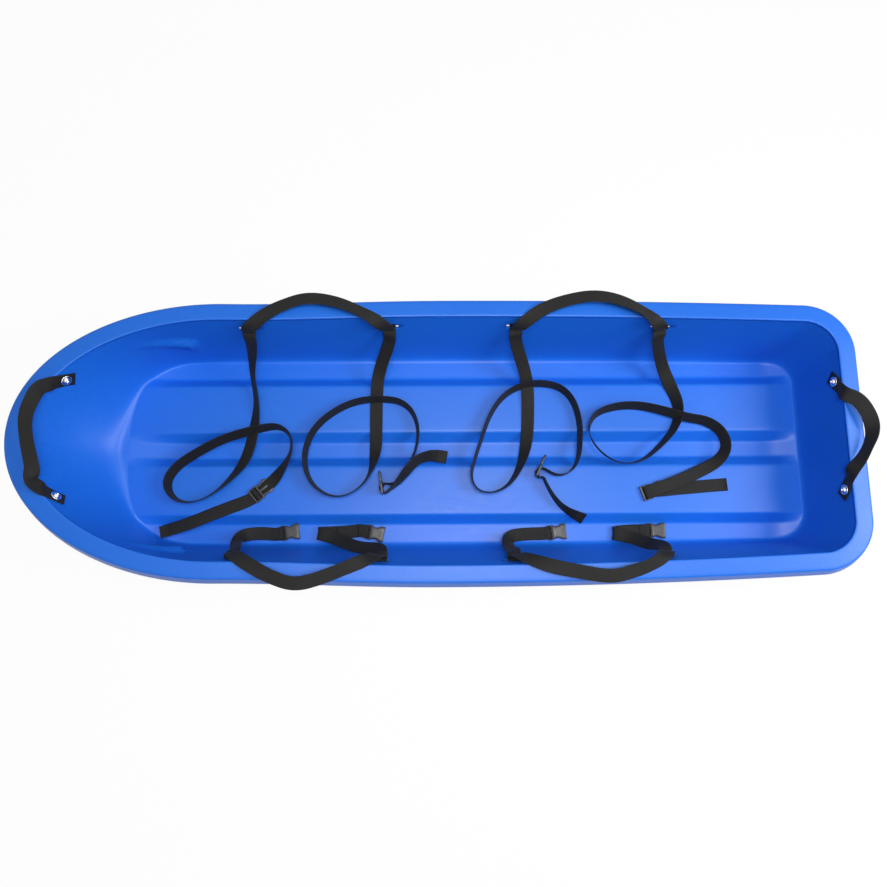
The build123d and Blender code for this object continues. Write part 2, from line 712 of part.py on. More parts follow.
def tab_plane(spot, facing, turn):
    """Plane of a handle's end tab: its X runs up the wall and over to the middle, its Z into the hull."""
    up = unit(Vector(0, 0, 1) - facing * facing.Z)
    level = unit(Vector(-facing.Y, facing.X, 0))
    if level.Y * spot.Y > 0:
        level = level * -1
    along = up * math.cos(math.radians(turn)) + level * math.sin(math.radians(turn))
    return Plane(origin=spot - facing * tab_gap, x_dir=along, z_dir=facing * -1)


def tab_point(plane, along, lift):
    return plane.from_local_coords(Vector(along, 0, lift))


def upright(direction):
    """A direction turned to run square to the hinge line."""
    return unit(Vector(direction.X, 0, direction.Z))


with BuildPart() as bolt_shape:
    with BuildSketch(Plane.XZ):
        with BuildLine():
            Polyline((0, 3.4), (0, -17), (bolt_radius, -17), (bolt_radius, 0), (5.5, 0), (5.4, 0.8))
            ThreePointArc((5.4, 0.8), (4.2, 2.5), (1.9, 3.4))
            Line((1.9, 3.4), (0, 3.4))
        make_face()
    revolve(axis=Axis.Z)

with BuildPart() as washer_shape:
    Cylinder(washer_radius, washer_thick, align=(Align.CENTER, Align.CENTER, Align.MIN))
    Hole(bolt_radius + 0.1)

with BuildPart() as nut_shape:
    with BuildSketch():
        RegularPolygon(5.8, 6)
        Circle(bolt_radius, mode=Mode.SUBTRACT)
    extrude(amount=5)

bolt_pieces = []
washer_pieces = []
nut_pieces = []
for end in ("bow", "stern"):
    tabs = []
    folds = []
    for spot, facing in bolts:
        if (spot.X > 0) != (end == "bow"):
            continue
        tab = tab_plane(spot, facing, tab_turns[end])
        reach = hinge_reach[end]
        middle = web_thick / 2
        across = tuple(tab.y_dir if tab.y_dir.Y > 0 else tab.y_dir * -1)
        bend = tab_point(tab, reach - 7, middle + tab_lifts[end])
        last = tab_point(tab, reach + 12, middle + tab_lifts[end] + 3.2)
        fold = bend + (last - bend) * (7 / 19)
        route = [(*tab_point(tab, -tab_below, middle), across), (*tab_point(tab, reach - 17, middle), across),
                 (*bend, sideways), (*last, sideways)]
        leaving = unit(last - bend)
        cut = Plane(origin=fold - upright(leaving) * hinge_gap, z_dir=upright(leaving))
        tab_piece = split(strap(end + "_tab", route), bisect_by=cut, keep=Keep.BOTTOM)
        bolt_hole = Cylinder(bolt_radius + 0.1, 12)
        tabs.append(tab_piece - bolt_hole.moved(tab.location))
        folds.append((fold, leaving))
        inside = tab.offset(web_thick + 0.12)
        outside = tab.offset(-tab_gap - wall_at_bolt[end] - washer_thick)
        bolt_pieces.append(bolt_shape.part.moved(inside.offset(washer_thick).location))
        washer_pieces.append(washer_shape.part.moved(inside.location))
        washer_pieces.append(washer_shape.part.moved(outside.location))
        nut_pieces.append(nut_shape.part.moved(outside.offset(-5).location))
    folds.sort(key=lambda item: item[0].Y)
    (first, first_way), (second, second_way) = folds
    turned = (0, -1, 0)
    start_way, end_way = (sideways, turned) if end == "bow" else (turned, sideways)
    route = [(*first, start_way), (*(first + first_way * 28), start_way), *handle_rows[end],
             (*(second + second_way * 28), end_way), (*second, end_way)]
    cuts = [Plane(origin=fold + upright(leaving) * hinge_gap, z_dir=upright(leaving)) for fold, leaving in folds]
    arc = strap(end + "_handle", route, cuts)
    save(Compound(children=tabs), end + "_handle_tabs")
    save(arc, end + "_handle")
    print(end, "hinge", first, second, "way", first_way)
save(Compound(children=bolt_pieces), "handle_bolts")
save(Compound(children=washer_pieces), "handle_washers")
save(Compound(children=nut_pieces), "handle_nuts")
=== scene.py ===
import math

import bmesh
import bpy
from mathutils import Matrix, Vector


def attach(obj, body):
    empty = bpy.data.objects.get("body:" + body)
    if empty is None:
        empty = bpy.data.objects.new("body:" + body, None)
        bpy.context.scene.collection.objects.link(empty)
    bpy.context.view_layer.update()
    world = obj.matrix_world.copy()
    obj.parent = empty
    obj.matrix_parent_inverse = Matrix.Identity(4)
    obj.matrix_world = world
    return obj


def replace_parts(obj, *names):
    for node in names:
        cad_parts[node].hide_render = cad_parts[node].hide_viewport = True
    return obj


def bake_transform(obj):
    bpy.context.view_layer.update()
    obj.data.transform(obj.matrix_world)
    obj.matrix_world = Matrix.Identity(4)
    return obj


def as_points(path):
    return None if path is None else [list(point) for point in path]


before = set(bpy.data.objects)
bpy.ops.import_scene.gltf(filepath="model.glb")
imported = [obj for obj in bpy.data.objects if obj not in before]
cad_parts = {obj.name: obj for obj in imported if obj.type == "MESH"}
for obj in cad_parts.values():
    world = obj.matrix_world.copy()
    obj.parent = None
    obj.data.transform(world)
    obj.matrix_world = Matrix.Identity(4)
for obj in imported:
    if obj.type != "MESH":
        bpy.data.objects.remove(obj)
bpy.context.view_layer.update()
scene = bpy.context.scene
scene.view_settings.view_transform = "Standard"

mm = 0.001  # the sizes below are in mm, and the camera's and lamps' places in metres

# Shader maths: a socket that adds, multiplies and so on like a number

class Tone:
    def __init__(self, tree, socket=None):
        self.tree, self.socket = tree, socket

    def node(self, kind, settings=None, inputs=None, output=0):
        made = self.tree.nodes.new(kind)
        for name, value in (settings or {}).items():
            if name == "stops":
                marks = made.color_ramp.elements
                while len(marks) < len(value):
                    marks.new(0.5)
                for mark, (place, colour) in zip(marks, value):
                    mark.position, mark.color = place, (*colour, 1)
            else:
                setattr(made, name, value)
        for place, value in (inputs or {}).items():
            if isinstance(value, Tone):
                self.tree.links.new(value.socket, made.inputs[place])
            else:
                made.inputs[place].default_value = value
        return Tone(self.tree, made.outputs[output])

    def math(self, operation, *values):
        return self.node("ShaderNodeMath", {"operation": operation}, dict(enumerate(values)))

    def __add__(self, other): return self.math("ADD", self, other)
    def __radd__(self, other): return self.math("ADD", other, self)
    def __sub__(self, other): return self.math("SUBTRACT", self, other)
    def __rsub__(self, other): return self.math("SUBTRACT", other, self)
    def __mul__(self, other): return self.math("MULTIPLY", self, other)
    def __rmul__(self, other): return self.math("MULTIPLY", other, self)
    def sine(self): return self.math("SINE", self)
    def size(self): return self.math("ABSOLUTE", self)
    def most(self, other): return self.math("MAXIMUM", self, other)

    def axis(self, letter):
        return self.node("ShaderNodeSeparateXYZ", {}, {0: self}, "XYZ".index(letter))

    def noise(self, scale, detail=3.0, rough=0.55, stretch=(1, 1, 1)):
        place = self
        if stretch != (1, 1, 1):
            place = self.node("ShaderNodeMapping", {}, {"Vector": self, "Scale": stretch})
        return self.node("ShaderNodeTexNoise", {}, {"Vector": place, "Scale": scale, "Detail": detail,
                                                    "Roughness": rough})

    def spots(self, scale):
        return self.node("ShaderNodeTexVoronoi", {}, {"Vector": self, "Scale": scale})

    def span(self, low, high, toLow=0.0, toHigh=1.0):
        return self.node("ShaderNodeMapRange", {}, {"Value": self, "From Min": low, "From Max": high,
                                                    "To Min": toLow, "To Max": toHigh})

    def ramp(self, *stops):
        return self.node("ShaderNodeValToRGB", {"stops": stops}, {0: self})

    def bump(self, strength, distance):
        return self.node("ShaderNodeBump", {}, {"Height": self, "Strength": strength, "Distance": distance})


# Camera, lamps and floor

camera = {"at": (-0.0117, 0.2417, 1.4448), "tilt": 0.1756, "roll": -0.0047, "lens": 29.5, "sensor": 36}
lamps = {
    "key": {"at": (-0.15, 0.15, 2.1), "size": 0.8, "watts": 25},
    "near": {"at": (0.0, 0.9, 1.6), "size": 0.9, "watts": 3},
    "stern": {"at": (-1.7, 0.1, 1.5), "size": 0.9, "watts": 26},
}
floorLook = {"half": 4.0, "white": 0.93, "glow": 0.95, "sky": 0.10}


def addCamera():
    data = bpy.data.cameras.new("camera")
    data.lens, data.sensor_width = camera["lens"], camera["sensor"]
    seat = bpy.data.objects.new("camera", data)
    tilt = camera["tilt"]
    right, up = Vector((-1, 0, 0)), Vector((0, -math.cos(tilt), math.sin(tilt)))
    turn = Matrix((right, up, right.cross(up))).transposed().to_4x4()
    roll = Matrix.Rotation(camera["roll"], 4, "Z")
    seat.matrix_world = Matrix.Translation(camera["at"]) @ turn @ roll
    scene.collection.objects.link(seat)
    scene.camera = seat


def addLamp(name, look):
    data = bpy.data.lights.new(name, "AREA")
    data.shape, data.size, data.energy = "SQUARE", look["size"], look["watts"]
    lamp = bpy.data.objects.new(name, data)
    lamp.location = look["at"]
    lamp.rotation_euler = (-Vector(look["at"])).to_track_quat("-Z", "Y").to_euler()
    scene.collection.objects.link(lamp)


def lightMask(start):
    # 1 for what the camera, mirrors and glass see, 0 for light that falls on the object
    seen, glossy, clear = (start.node("ShaderNodeLightPath", output=ray)
                           for ray in ("Is Camera Ray", "Is Glossy Ray", "Is Transmission Ray"))
    return seen.most(glossy).most(clear)


def addFloor():
    bm = bmesh.new()
    bmesh.ops.create_grid(bm, x_segments=1, y_segments=1, size=floorLook["half"])
    mesh = bpy.data.meshes.new("floor")
    bm.to_mesh(mesh)
    bm.free()
    floor = bpy.data.objects.new("floor", mesh)
    scene.collection.objects.link(floor)
    paint = bpy.data.materials.new("pale_floor")
    paint.use_nodes = True
    tree = paint.node_tree
    tree.nodes.remove(tree.nodes["Principled BSDF"])
    start = Tone(tree)
    matte = start.node("ShaderNodeBsdfDiffuse", {}, {"Color": (*[floorLook["white"]] * 3, 1)})
    glow = start.node("ShaderNodeEmission", {}, {"Color": (1, 1, 1, 1)})
    share = lightMask(start) * floorLook["glow"]
    both = start.node("ShaderNodeMixShader", {}, {0: share, 1: matte, 2: glow})
    tree.links.new(both.socket, tree.nodes["Material Output"].inputs["Surface"])
    mesh.materials.append(paint)


def addSky():
    sky = bpy.data.worlds.new("sky")
    scene.world = sky
    sky.use_nodes = True
    tree = sky.node_tree
    back = tree.nodes["Background"]
    back.inputs["Color"].default_value = (1, 1, 1, 1)
    strength = lightMask(Tone(tree)).span(0, 1, floorLook["sky"], 1)
    tree.links.new(strength.socket, back.inputs["Strength"])


addCamera()
for name, look in lamps.items():
    addLamp(name, look)
addFloor()
addSky()
print("camera, lamps and floor")


# Finishes

def finish(name, build, **fixed):
    # a material: build gives what changes over the surface, fixed what stays the same
    made = bpy.data.materials.new(name)
    made.use_nodes = True
    tree = made.node_tree
    shader = tree.nodes["Principled BSDF"]
    for label, value in fixed.items():
        shader.inputs[label.replace("_", " ")].default_value = value
    own = Tone(tree).node("ShaderNodeTexCoord", output="Object")
    for label, tone in build(own).items():
        tree.links.new(tone.socket, shader.inputs[label.replace("_", " ")])
    return made


def hullFinish(own):
    cloud = own.noise(2.2, 3)  # broad, faint shade
    grain = own.noise(950, 2)
    peel = own.noise(150, 3)
    scuff = own.noise(34, 6, 0.65, (1, 6, 2))  # drawn out along the hull
    flecks = own.spots(430).span(0.04, 0.15, 1, 0)
    shade = cloud * 0.40 + peel * 0.15 + scuff * 0.20 + flecks * 0.18
    colour = shade.ramp(
        (0.20, (0.008, 0.130, 0.66)), (0.45, (0.012, 0.158, 0.73)), (0.80, (0.035, 0.215, 0.82)))
    return {"Base Color": colour, "Roughness": peel * 0.10 + scuff * 0.14 + 0.27,
            "Normal": (peel * 0.35 + grain * 0.5 + scuff * 0.25).bump(0.25, 0.0006)}


webWeave = {"ribs": 92.4, "wales": 71.4}  # turns of the weave in radians for one width of webbing


def webFinish(own):
    woven = own.node("ShaderNodeTexCoord", output="UV")
    along, across = woven.axis("X"), woven.axis("Y")
    rib = (along * webWeave["ribs"]).sine()
    wale = (across * webWeave["wales"] + (along * webWeave["ribs"] * 0.5).sine() * 0.6).sine()
    selvedge = (across - 0.5).size().span(0.43, 0.47)
    weave = rib * wale * 0.5 + wale.size() * 0.35
    fuzz = own.noise(1500, 2)
    worn = own.noise(60, 4)
    height = weave * (1 - selvedge) + selvedge * rib * 0.6 + fuzz * 0.25
    tone = (weave * 0.25 + worn * 0.5 + fuzz * 0.1 + 0.15).ramp(
        (0.0, (0.003, 0.003, 0.003)), (0.6, (0.008, 0.0078, 0.0075)), (1.0, (0.022, 0.020, 0.019)))
    return {"Base Color": tone, "Roughness": worn * 0.2 + 0.5, "Normal": height.bump(0.5, 0.0005)}


def threadFinish(own):
    twist = own.noise(2600, 2)
    return {"Base Color": twist.ramp((0.3, (0.014, 0.014, 0.014)), (0.8, (0.055, 0.052, 0.050))),
            "Roughness": twist * 0.2 + 0.5}


def buckleFinish(own):
    grain = own.noise(1100, 3)
    rub = own.noise(90, 5)
    tone = (rub * 0.6 + grain * 0.3).ramp((0.25, (0.020, 0.020, 0.021)), (0.8, (0.050, 0.049, 0.051)))
    return {"Base Color": tone, "Roughness": rub * 0.25 + 0.26, "Normal": grain.bump(0.25, 0.0003)}


def chromeFinish(own):
    smear = own.noise(240, 4)
    return {"Roughness": smear * 0.12 + 0.06,
            "Base Color": smear.ramp((0.2, (0.72, 0.73, 0.75)), (1.0, (0.86, 0.86, 0.87)))}


def steelFinish(own):
    lines = own.noise(700, 4, 0.6, (1, 1, 14))
    return {"Roughness": lines * 0.25 + 0.22, "Normal": lines.bump(0.15, 0.0002),
            "Base Color": lines.ramp((0.2, (0.48, 0.49, 0.50)), (1.0, (0.66, 0.66, 0.67)))}


finishes = {
    "hull_shell": finish("moulded_blue_polyethylene", hullFinish, Specular_IOR_Level=0.40),
    "webbing": finish("black_webbing", webFinish, Specular_IOR_Level=0.22, Sheen_Weight=0.03),
    "thread": finish("black_thread", threadFinish, Specular_IOR_Level=0.4),
    "buckle_plastic": finish("black_acetal", buckleFinish, Specular_IOR_Level=0.5),
    "bolt_chrome": finish("chrome_plate", chromeFinish, Metallic=1.0),
    "steel": finish("zinc_steel", steelFinish, Metallic=1.0),
}
print("finishes")


# Mesh helpers

def newPiece(name, bm, look, body="sled"):
    mesh = bpy.data.meshes.new(name)
    bm.to_mesh(mesh)
    bm.free()
    mesh.shade_smooth()
    piece = bpy.data.objects.new(name, mesh)
    scene.collection.objects.link(piece)
    mesh.materials.append(finishes[look])
    if body:
        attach(piece, body)
    return piece


def gridPatch(bm, columns, rows, place):
    # a grid of faces laid over a surface: place gives the spot of each column and row
    made = bmesh.ops.create_grid(bm, x_segments=columns - 1, y_segments=rows - 1, size=1)["verts"]
    spots = [(vert, round((vert.co.x + 1) / 2 * (columns - 1)), round((vert.co.y + 1) / 2 * (rows - 1)))
             for vert in made]
    for vert, column, row in spots:
        vert.co = place(column, row)
    return spots


def placed(bm, verts, place):
    # from a piece's own axes in mm to its place: middle, heading of its X, facing of its Z
    middle, heading, facing = (Vector(part) for part in place)
    heading.normalize()
    side = facing.normalized().cross(heading)
    turn = Matrix((heading, side, facing.normalized())).transposed().to_4x4()
    whole = Matrix.Translation(middle * mm) @ turn @ Matrix.Scale(mm, 4)
    bmesh.ops.transform(bm, verts=verts, matrix=whole)


def facesOf(verts):
    # the faces that touch some vertices, each once
    return list(dict.fromkeys(face for vert in verts for face in vert.link_faces))


def edgesOf(verts):
    return list(dict.fromkeys(edge for vert in verts for edge in vert.link_edges))


def addedSince(bm, known):
    return [vert for vert in bm.verts if vert not in known]


def roundEdges(bm, edges, size):
    bmesh.ops.bevel(bm, geom=edges, offset=size, segments=2, profile=0.5, affect="EDGES", material=-1)


def lift(bm, faces, height):
    # draws faces up by a height and gives the new vertices
    grown = bmesh.ops.extrude_face_region(bm, geom=faces)["geom"]
    lifted = [item for item in grown if isinstance(item, bmesh.types.BMVert)]
    bmesh.ops.translate(bm, verts=lifted, vec=(0, 0, height))
    return lifted


def levelEdges(verts):
    return [edge for edge in edgesOf(verts) if abs(edge.verts[0].co.z - edge.verts[1].co.z) < 1e-6]


def outlinePlate(bm, outline, low, high, rounding):
    # a plate of a given outline, its long edges rounded
    base = [bm.verts.new((x, y, low)) for x, y in outline]
    lifted = lift(bm, [bm.faces.new(base)], high - low)
    roundEdges(bm, levelEdges(base + lifted), rounding)


def latticePlate(bm, xs, ys, low, high, windows, rounding):
    # a plate on a grid of lines, with some of its cells left open
    patch = gridPatch(bm, len(xs), len(ys), lambda column, row: Vector((xs[column], ys[row], low)))
    gone, kept = [], []
    for face in facesOf(vert for vert, column, row in patch):
        centre = face.calc_center_median()
        hole = any(x0 < centre.x < x1 and y0 < centre.y < y1 for x0, x1, y0, y1 in windows)
        (gone if hole else kept).append(face)
    bmesh.ops.delete(bm, geom=gone, context="FACES")
    lifted = lift(bm, kept, high - low)
    bm.normal_update()
    edges = dict.fromkeys(edge for face in facesOf(lifted) + kept for edge in face.edges)
    corners = [edge for edge in edges if edge.is_manifold and edge.calc_face_angle(0) > math.radians(46)]
    roundEdges(bm, corners, rounding)


def turned(bm, profile, steps=40):
    # a round piece: a profile of (radius, height) spun about its own Z
    verts = [bm.verts.new((radius, 0, height)) for radius, height in profile]
    edges = [bm.edges.new(pair) for pair in zip(verts, verts[1:])]
    bmesh.ops.spin(bm, geom=verts + edges, cent=(0, 0, 0), axis=(0, 0, 1), angle=2 * math.pi,
                   steps=steps, use_merge=True)


# Hull: one moulded shell, drawn as upright cuts round the rim over a floor pan

hull = {
    "wall": 4, "seam": 0.12, "speck": 0.03, "ridgeHalf": 229.7, "ridgeBow": 727, "ridgeStern": -733,
    "bowStart": 395, "bowNarrowing": 8.3, "bowCuts": 60, "cornerCuts": 18, "sideSpacing": 12,
    "endBlend": 1.2, "sternNarrowing": 22, "sternCorner": 60, "rimHeight": 151, "bowRise": 36,
    "sternRise": 20, "flangeWidth": 30, "bowFlangeExtra": 6, "lipFlare": 8, "lipDrop": 22,
    "footHalf": 182.4, "footTaper": 5, "footTaperAt": 620, "footBowStart": 470, "footBowCurve": 2.6,
    "floorBow": 612, "floorStern": -712, "floorCorner": 50, "panelHeight": 23.4, "channelHalf": 16,
    "channelTopHalf": 33.7, "panelFootHalf": 146.5, "panelTopHalf": 129.9, "bowRampStart": 480,
    "sternRampStart": -650, "softness": 0.06, "meetHalf": 150, "meetFade": 12, "meetSoft": 2.2,
    "slotLength": 36, "slotHeight": 9, "slotBelowRim": 33, "slotLead": 6,
    "slotPlaces": (363, 97, -145, -418),
    # angle round the bow, then bottom, crest, top and depth of the wedge there
    "wedges": ((77, 52, 88, 100, 0), (75, 52, 88, 100, 13), (65, 82, 106, 116, 6),
               (56, 118, 128, 133, 0.5)),
    # how a wall rises from its foot (0) to the ridge (1), at the sides, the bow and the stern
    "upAt": (0.0, 0.12, 0.25, 0.5, 0.75, 1.0),
    "sideUp": (0.0, 0.02, 0.10, 0.39, 0.70, 1.0),
    "bowUp": (0.0, 0.008, 0.065, 0.27, 0.56, 1.0),
    "sternUp": (0.0, 0.02, 0.08, 0.33, 0.66, 1.0),
    # the floor's lines across, closer where a channel turns up
    "across": (0, 6, 11, 13.5, 15, 16.5, 18.5, 21, 24, 27, 30, 32, 33.5, 35.5, 39, 45, 54, 66, 80, 94,
               107, 118, 125, 128, 130, 132, 134.5, 138, 141.5, 144, 146, 148.5, 152, 158, 165, 171,
               176, 180, 182.4),
}


def clamp(value, low=0.0, high=1.0):
    return max(low, min(high, value))


def mix(a, b, share):
    return a + (b - a) * share


def softStep(t, softness):
    # 0 before t = 0 and 1 after t = 1, with rounded shoulders
    def soft(value):
        return max(0, value) + softness * math.log1p(math.exp(-abs(value) / softness))
    return soft(t) - soft(t - 1)


def smoothCurve(xs, ys):
    # a natural cubic through a few points
    count = len(xs)
    gap = [b - a for a, b in zip(xs, xs[1:])]
    mid, rhs, bend = [1.0] * count, [0.0] * count, [0.0] * count
    up = [0.0] * count
    for i in range(1, count - 1):
        low, mid[i], up[i] = gap[i - 1], 2 * (gap[i - 1] + gap[i]), gap[i]
        rhs[i] = 6 * ((ys[i + 1] - ys[i]) / gap[i] - (ys[i] - ys[i - 1]) / gap[i - 1])
        share = low / mid[i - 1]
        mid[i] -= share * up[i - 1]
        rhs[i] -= share * rhs[i - 1]
    for i in range(count - 2, 0, -1):
        bend[i] = (rhs[i] - up[i] * bend[i + 1]) / mid[i]

    def at(x):
        i = max(k for k in range(count - 1) if xs[k] <= x or k == 0)
        a = (xs[i + 1] - x) / gap[i]
        b = 1 - a
        curl = (a ** 3 - a) * bend[i] + (b ** 3 - b) * bend[i + 1]
        return a * ys[i] + b * ys[i + 1] + curl * gap[i] ** 2 / 6
    return at


sideUp, bowUp, sternUp = (smoothCurve(hull["upAt"], hull[name]) for name in ("sideUp", "bowUp", "sternUp"))


def ridgeHalfAt(x):
    # half-width of the hull at the ridge
    if x > 0:
        share = (1 - math.cos(math.pi * min(1, x / hull["bowStart"]))) / 2
        return hull["ridgeHalf"] - hull["bowNarrowing"] * share
    return hull["ridgeHalf"] - hull["sternNarrowing"] * (x / hull["ridgeStern"]) ** 2


def rimAt(x):
    # height of the ridge
    end, rise = ("ridgeBow", "bowRise") if x > 0 else ("ridgeStern", "sternRise")
    return hull["rimHeight"] + hull[rise] * (x / hull[end]) ** 2


def floorAt(x):
    # height of the floor's channels, which run up to the panels' height at both ends
    fore = (x - hull["bowRampStart"]) / (hull["floorBow"] - hull["bowRampStart"])
    aft = (hull["sternRampStart"] - x) / (hull["sternRampStart"] - hull["floorStern"])
    share = clamp(max(fore, aft))
    return hull["wall"] + (hull["panelHeight"] - hull["wall"]) * share * share * (1.6 - 0.6 * share)


def panHeight(x, y):
    # floor channels with the two raised panels between them
    y, foot, top = abs(y), hull["panelFootHalf"], hull["panelTopHalf"]
    centreFoot, centreTop = hull["channelHalf"], hull["channelTopHalf"]
    inner = softStep((y - centreFoot) / (centreTop - centreFoot), hull["softness"])
    outer = softStep((foot - y) / (foot - top), hull["softness"])
    base = floorAt(x)
    return base + (hull["panelHeight"] - base) * clamp(min(inner, outer))


def footHalfAt(x):
    # half-width of the floor pan inside the walls' feet
    if x > hull["footBowStart"]:
        along = clamp((x - hull["footBowStart"]) / (hull["floorBow"] - hull["footBowStart"]))
        return hull["footHalf"] * (1 - along ** hull["footBowCurve"]) ** (1 / hull["footBowCurve"])
    side = hull["footHalf"] - hull["footTaper"] * (min(0, x) / hull["footTaperAt"]) ** 2
    past = hull["floorStern"] + hull["floorCorner"] - x
    if past > 0:
        return side - hull["floorCorner"] + math.sqrt(max(0, hull["floorCorner"] ** 2 - past ** 2))
    return side


def halved(near, far, steps, past):
    # where past turns true between near and far, found by halving
    for _ in range(steps):
        middle = (near + far) / 2
        near, far = (near, middle) if past(middle) else (middle, far)
    return far


class Station:
    # one upright cut through the wall, from its foot over the ridge to the lip
    def __init__(self, point, normal, angle=None):
        self.point, self.normal, self.angle = point, normal, angle
        self.run = self.footRun()
        self.foot = (point[0] - normal[0] * self.run, max(0.0, point[1] - normal[1] * self.run))
        self.low, self.high = floorAt(self.foot[0]), rimAt(point[0])
        self.bow, self.stern = (max(0, way) ** hull["endBlend"] for way in (normal[0], -normal[0]))
        self.slotShares = [self.shareAt(self.high - hull["slotBelowRim"] + step * hull["slotHeight"] / 2)
                           for step in (-1, 0, 1)]
        self.cut = self.rows()

    def footRun(self):
        # how far the floor's edge lies inside the ridge
        def inside(run):
            x, y = (place - way * run for place, way in zip(self.point, self.normal))
            return hull["floorStern"] < x < hull["floorBow"] and abs(y) < footHalfAt(x)
        return halved(0.0, 200.0, 36, inside)

    def height(self, share):
        ends = self.bow * bowUp(share) + self.stern * sternUp(share)
        up = (1 - self.bow - self.stern) * sideUp(share) + ends
        return self.low + (self.high - self.low) * up

    def shareAt(self, z):
        # how far up the wall a height is reached
        return halved(0.1, 1.0, 30, lambda share: self.height(share) > z)

    def wedge(self, z):
        # the moulded wedges beside the bow stand in from the wall
        if self.angle is None:
            return 0.0
        for (a, *first), (b, *second) in zip(hull["wedges"], hull["wedges"][1:]):
            if b <= self.angle <= a:
                share = (a - self.angle) / (a - b)
                low, middle, high, depth = (mix(p, q, share) for p, q in zip(first, second))
                side = (z - low) / (middle - low) if z < middle else (high - z) / (high - middle)
                return depth * clamp(side)
        return 0.0

    def rows(self):
        low, middle, high = self.slotShares
        shares = [low * (i / slotRow) for i in range(slotRow)] + [low, middle, high]
        shares += [mix(high, 1, step) for step in (0.2, 0.4, 0.6, 0.78, 0.9)]
        points = []
        for share in shares:
            z = self.height(share)
            out = self.run * share - self.wedge(z)
            y = self.foot[1] + self.normal[1] * out
            if y < hull["meetHalf"]:  # where a floor panel runs into the wall
                pan = panHeight(self.foot[0] + self.normal[0] * out, y)
                fade = clamp((hull["meetHalf"] - y) / hull["meetFade"])
                soft = hull["meetSoft"] * clamp(share / 0.1) * fade + 0.001
                z += max(0, pan - z) + soft * math.log1p(math.exp(-abs(pan - z) / soft))
            points.append((out, z))
        top, ridge = self.high, self.run
        edge = ridge + hull["flangeWidth"] + hull["bowFlangeExtra"] * max(0, self.normal[0]) ** 2
        # the crisp ridge, the flange, the turn at its edge and the flared lip
        points += [(ridge - 1.0, top - 2.6), (ridge - 0.3, top - 0.9), (ridge + 1.0, top - 0.15),
                   (ridge + 3, top - 0.1)]
        points += [(mix(ridge, edge - 3, step), top - step) for step in (0.3, 0.55, 0.8, 1)]
        points += [(edge - 1.2, top - 1.4), (edge + 0.2, top - 2.4), (edge + 1.1, top - 3.8),
                   (edge + 1.6, top - 5)]
        points += [(mix(edge + 1.6, edge + hull["lipFlare"], step), top - mix(5, hull["lipDrop"], step))
                   for step in (0.25, 0.5, 0.75, 1)]
        return points

    def place(self, row, side):
        out, z = self.cut[row]
        x, y = self.foot[0] + self.normal[0] * out, self.foot[1] + self.normal[1] * out
        return Vector((x, y * side, z)) * mm


def bowStation(angle):
    turn = math.radians(angle)
    reach, half = hull["ridgeBow"] - hull["bowStart"], ridgeHalfAt(hull["bowStart"])
    lean = Vector((math.cos(turn) / reach, math.sin(turn) / half)).normalized()
    return Station((hull["bowStart"] + reach * math.cos(turn), half * math.sin(turn)), tuple(lean), angle)


def cornerStation(angle):
    turn = math.radians(angle)
    x = hull["ridgeStern"] + hull["sternCorner"]
    y = ridgeHalfAt(x) - hull["sternCorner"]
    return Station((x + hull["sternCorner"] * math.cos(turn), y + hull["sternCorner"] * math.sin(turn)),
                   (math.cos(turn), math.sin(turn)))


def slotMiddles(side):
    return [place + hull["slotLead"] * side for place in hull["slotPlaces"]]


def sideLines():
    # upright cuts along a side: five across every slot, and evenly between
    steps = [share * hull["slotLength"] for share in (-0.5, -0.25, 0, 0.25, 0.5)]
    ends = [middle + step for side in (1, -1) for middle in slotMiddles(side) for step in steps]
    lines = sorted(ends + [hull["bowStart"] - hull["sideSpacing"] * i for i in range(1, 90)], reverse=True)
    last = hull["ridgeStern"] + hull["sternCorner"] + 1
    kept = []
    for x in lines:
        if x > last and (x in ends or all(abs(x - other) > 5 for other in ends)):
            if not kept or kept[-1] - x > 0.5:
                kept.append(x)
    return kept


slotRow = 23  # the row of a wall's points where its slots begin
stations = [bowStation(90 * i / hull["bowCuts"]) for i in range(hull["bowCuts"] + 1)]
stations += [Station((x, ridgeHalfAt(x)), (0.0, 1.0)) for x in sideLines()]
stations += [cornerStation(90 + 90 * i / hull["cornerCuts"]) for i in range(hull["cornerCuts"] + 1)]
cornerHalf = stations[-1].foot[1]
stations += [Station((hull["ridgeStern"], y), (-1.0, 0.0))
             for y in reversed(hull["across"]) if y < cornerHalf - 1]
panEnd = 1 + next(i for i, cut in enumerate(stations) if cut.foot[0] < hull["floorStern"] + 0.02)


